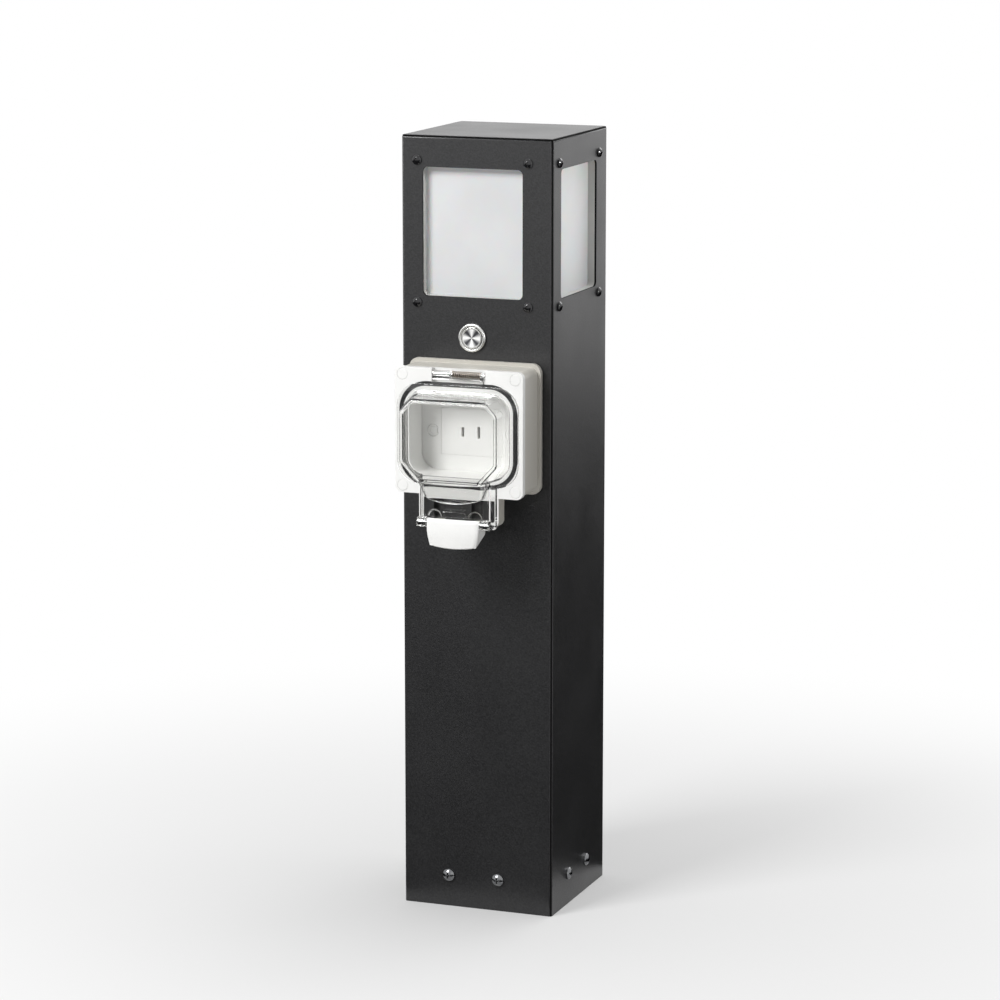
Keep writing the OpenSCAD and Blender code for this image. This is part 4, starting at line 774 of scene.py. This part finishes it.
def hood(name, shrink, top, low, back, steps=40):
    """Visor: at each height a squared half-ellipse in plan. From height 341 down to 324.5 its
    half width falls by 4.5 from 28 and its reach by 7.8 from 60.2; its lower edge rises to
    both sides as x * x / 120."""
    rows = []
    a = np.linspace(0, np.pi, steps)
    for part in np.linspace(0, 1, 14):
        z = top + (low - top) * part
        down = np.clip((341 - z) / (341 - HOOD_LOW), 0, 1.3)
        half = 28.0 - 4.5 * down ** 1.3 - shrink
        reach = 60.2 - 7.8 * down ** 0.9 - shrink - back
        x, out = squared(a, half, back, reach)
        rows.append(on_face(x, z + x * x / 120 * part, out))
    return skin(name, np.array(rows))


def lip(name, r=0.8, steps=60):
    """Round bead of radius r along the hood's lower edge, 0.2 mm up from it."""
    a = np.linspace(0.05, np.pi - 0.05, steps)
    x, out = squared(a, 23.3 - r, 41.5, 10.7 - r)
    path = on_face(x, HOOD_LOW + 0.2 + x * x / 120, out)
    ahead = np.gradient(path, axis=0)
    beside = np.cross(ahead, (0, 0, 1))
    beside /= np.linalg.norm(beside, axis=1)[:, None]
    b = np.linspace(0, 2 * np.pi, 12, endpoint=False)[:, None]
    return skin(name, path[:, None] + r * (
        np.cos(b) * beside[:, None] + np.sin(b) * np.array((0, 0, 1))))


def melded(piece, parts, operation):
    """Joins parts to a piece (UNION), or cuts them from it (DIFFERENCE), one by one."""
    for part in parts:
        step = piece.modifiers.new(operation, "BOOLEAN")
        step.operation = operation
        step.solver = "EXACT"
        step.object = part
        done = bpy.data.meshes.new_from_object(
            piece.evaluated_get(bpy.context.evaluated_depsgraph_get()))
        piece.modifiers.clear()
        old, piece.data = piece.data, done
        bpy.data.meshes.remove(old)
        bpy.data.objects.remove(part)
    return piece


# Webs tie the knuckles to the strap: (z, out) of their outline.
WEB = [(418.65, 36.45), (418.65, 39.2), (414.4, 39.9), (414.4, 38.9), (415.9, 36.55)]
melded(cover, [
    slab("tray", (-30.5, 30.5), (304.5, 345), (COVER_BACK, 45.4), 2.5, 1.0, 2.6),
    hood("hood", 0, 346, HOOD_LOW, 41.5), lip("hood_lip"),
    slab("strap", (-20.4, 20.4), (405, 415.8), (COVER_BACK + 0.1, 40.6), 1.0, 0.5),
    rod("knuckle_left", -20.5, -6.7, *HINGE, 2.6), rod("knuckle_right", 17.5, 20.5, *HINGE, 2.6),
    across("web_left", -20.3, -6.85, WEB), across("web_right", 17.65, 20.3, WEB),
    across("ear_left", -28.2, -21.2, lug(*LATCH_PIN, 3.6, 40.6), 0.5),
    across("ear_right", 21.2, 28.2, lug(*LATCH_PIN, 3.6, 40.6), 0.5),
    slab("bar_high", (-10.5, 8.5), (318.4, 321.6), (44.5, 46.2), 1.5, 0.3),
    slab("bar_low", (-10.5, 8.5), (312.9, 317.1), (44.6, 46.2), 2.0, 0.3),
    arch("arch_left", -16, 313, 5), arch("arch_right", 16, 313, 5),
], "UNION")
melded(cover, [
    dome_room,
    slab("bar_high_room", (-9.6, 7.6), (319.3, 320.7), (45.55, 47), 0.6, 0.1),
    slab("bar_low_room", (-9.5, 7.5), (313.75, 316.25), (45.6, 47), 1.1, 0.1),
    slab("tray_room", (-28.5, 28.5), (306.5, 345), (COVER_BACK - 1, 43.4), 2.0, 0.5, 2.2),
    hood("hood_room", 2.2, 350, 317.5, 45.4),
    rod("spring_room", -6.55, 17.35, *HINGE, 2.85),
    rod("hinge_bore", -30, 30, *HINGE, 1.26),
    rod("latch_bore", -40, 40, *LATCH_PIN, 1.53),
], "DIFFERENCE")
cover.data.shade_smooth()
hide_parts("cover")
finish(crisp(cover), clear_pc, "cover")

# ---- Hinge -------------------------------------------------------------------------
# The closing spring between the cover's knuckles, wound round the stainless pin from
# drawn spring steel wire with a thin brown skin.
spring_wire, tree, shader = surface("spring_wire_steel", "#a39a90", 0.3, 1.0)
relief(tree, shader, grain(tree, 0.5, 2), 0.01, 0.4)
spring = coil("closing_spring", on_face(-5.8, *HINGE), 2.15, 0.8, 1.62, 14, "x")
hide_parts("hinge_spring")
finish(spring, spring_wire)

# ---- Latch -------------------------------------------------------------------------
# White ABS flap on a pin through the cover's ears, curved across and rolled back along
# its top, with two side cheeks that taper downwards and hook under the tongue.

# Outline of a cheek, (z, out): the round over the pin, the front, the hook's foot and jaw.
CHEEK = [(311.2, 46.7), (311.9, 47.7), (312.0, 48.6), (311.6, 49.6), (310.8, 50.3), (292.2, 50.6),
         (291.8, 50.0), (299.6, 35.8), (300.3, 35.5), (305.0, 35.5), (305.3, 35.8), (305.3, 36.7),
         (305.0, 37.0), (304.2, 37.1), (303.95, 37.4), (303.95, 45.2), (304.5, 45.7), (309.5, 45.7)]


def flap(name, half=20.7, bow=280.0, wall=2.2):
    """Sections across the flap: its face lies at 53 - x * x / bow, its lower edge at
    290.5 + x * x / bow, and both ends are rounded over by 3.5 below and 1.5 above."""
    x = half * np.sin(np.linspace(-np.pi / 2, np.pi / 2, 41))[:, None]

    def over(r):
        """How far a corner rounded by r falls back at x."""
        return r - np.sqrt(np.maximum(r * r - np.maximum(np.abs(x) - half + r, 0) ** 2, 0))

    face = 53 - x * x / bow - 0.35 * over(3.5)
    low, top = 290.5 + x * x / bow + over(3.5), 312.4 - over(1.5)
    crown = 0.5 * np.sin(np.linspace(0, np.pi, 9)) - 0.5
    z = [low + 0.6, low + 0.12, low, low + 0.25]
    out = [face - wall, face - wall + 0.2, face - wall + 0.7, face - 1.1]
    for part, bulge in zip(np.linspace(0, 1, 9), crown):
        z.append(low + 0.7 + (top - 3 - low - 0.7) * part)
        out.append(face + bulge)
    for a in np.linspace(0, np.pi / 2, 6)[1:]:
        z.append(top - 3 + 3 * np.sin(a))
        out.append(face - 0.5 - 2.4 * (1 - np.cos(a)))
    z += [top - 0.2, top - 1.0, top - 3.2]
    out += [face - 3.6, face - 3.8, face - wall - 0.5]
    z, out = (np.hstack([v + 0 * x for v in rows]) for rows in (z, out))
    return skin(name, on_face(x + 0 * z, z, out))


latch = melded(flap("latch_flap"), [
    across("cheek_left", -20.5, -18.2, CHEEK, 0.3),
    across("cheek_right", 18.2, 20.5, CHEEK, 0.3)], "UNION")
melded(latch, [rod("latch_pin_bore", -40, 40, *LATCH_PIN, 1.56)], "DIFFERENCE")
# Drawn in towards its lower edge: x is scaled by 1 - 0.14 * t * t, t from 0 just below
# the pin, at 308 mm, to 1 at 290.5 mm.
points = np.empty(len(latch.data.vertices) * 3)
latch.data.vertices.foreach_get("co", points)
points = points.reshape(-1, 3)
t = np.clip((0.308 - points[:, 2]) / 0.0175, 0, 1)
points[:, 0] *= 1 - 0.14 * t * t
latch.data.vertices.foreach_set("co", points.ravel())
latch.data.shade_smooth()
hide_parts("latch")
finish(crisp(latch), white_abs, "latch")
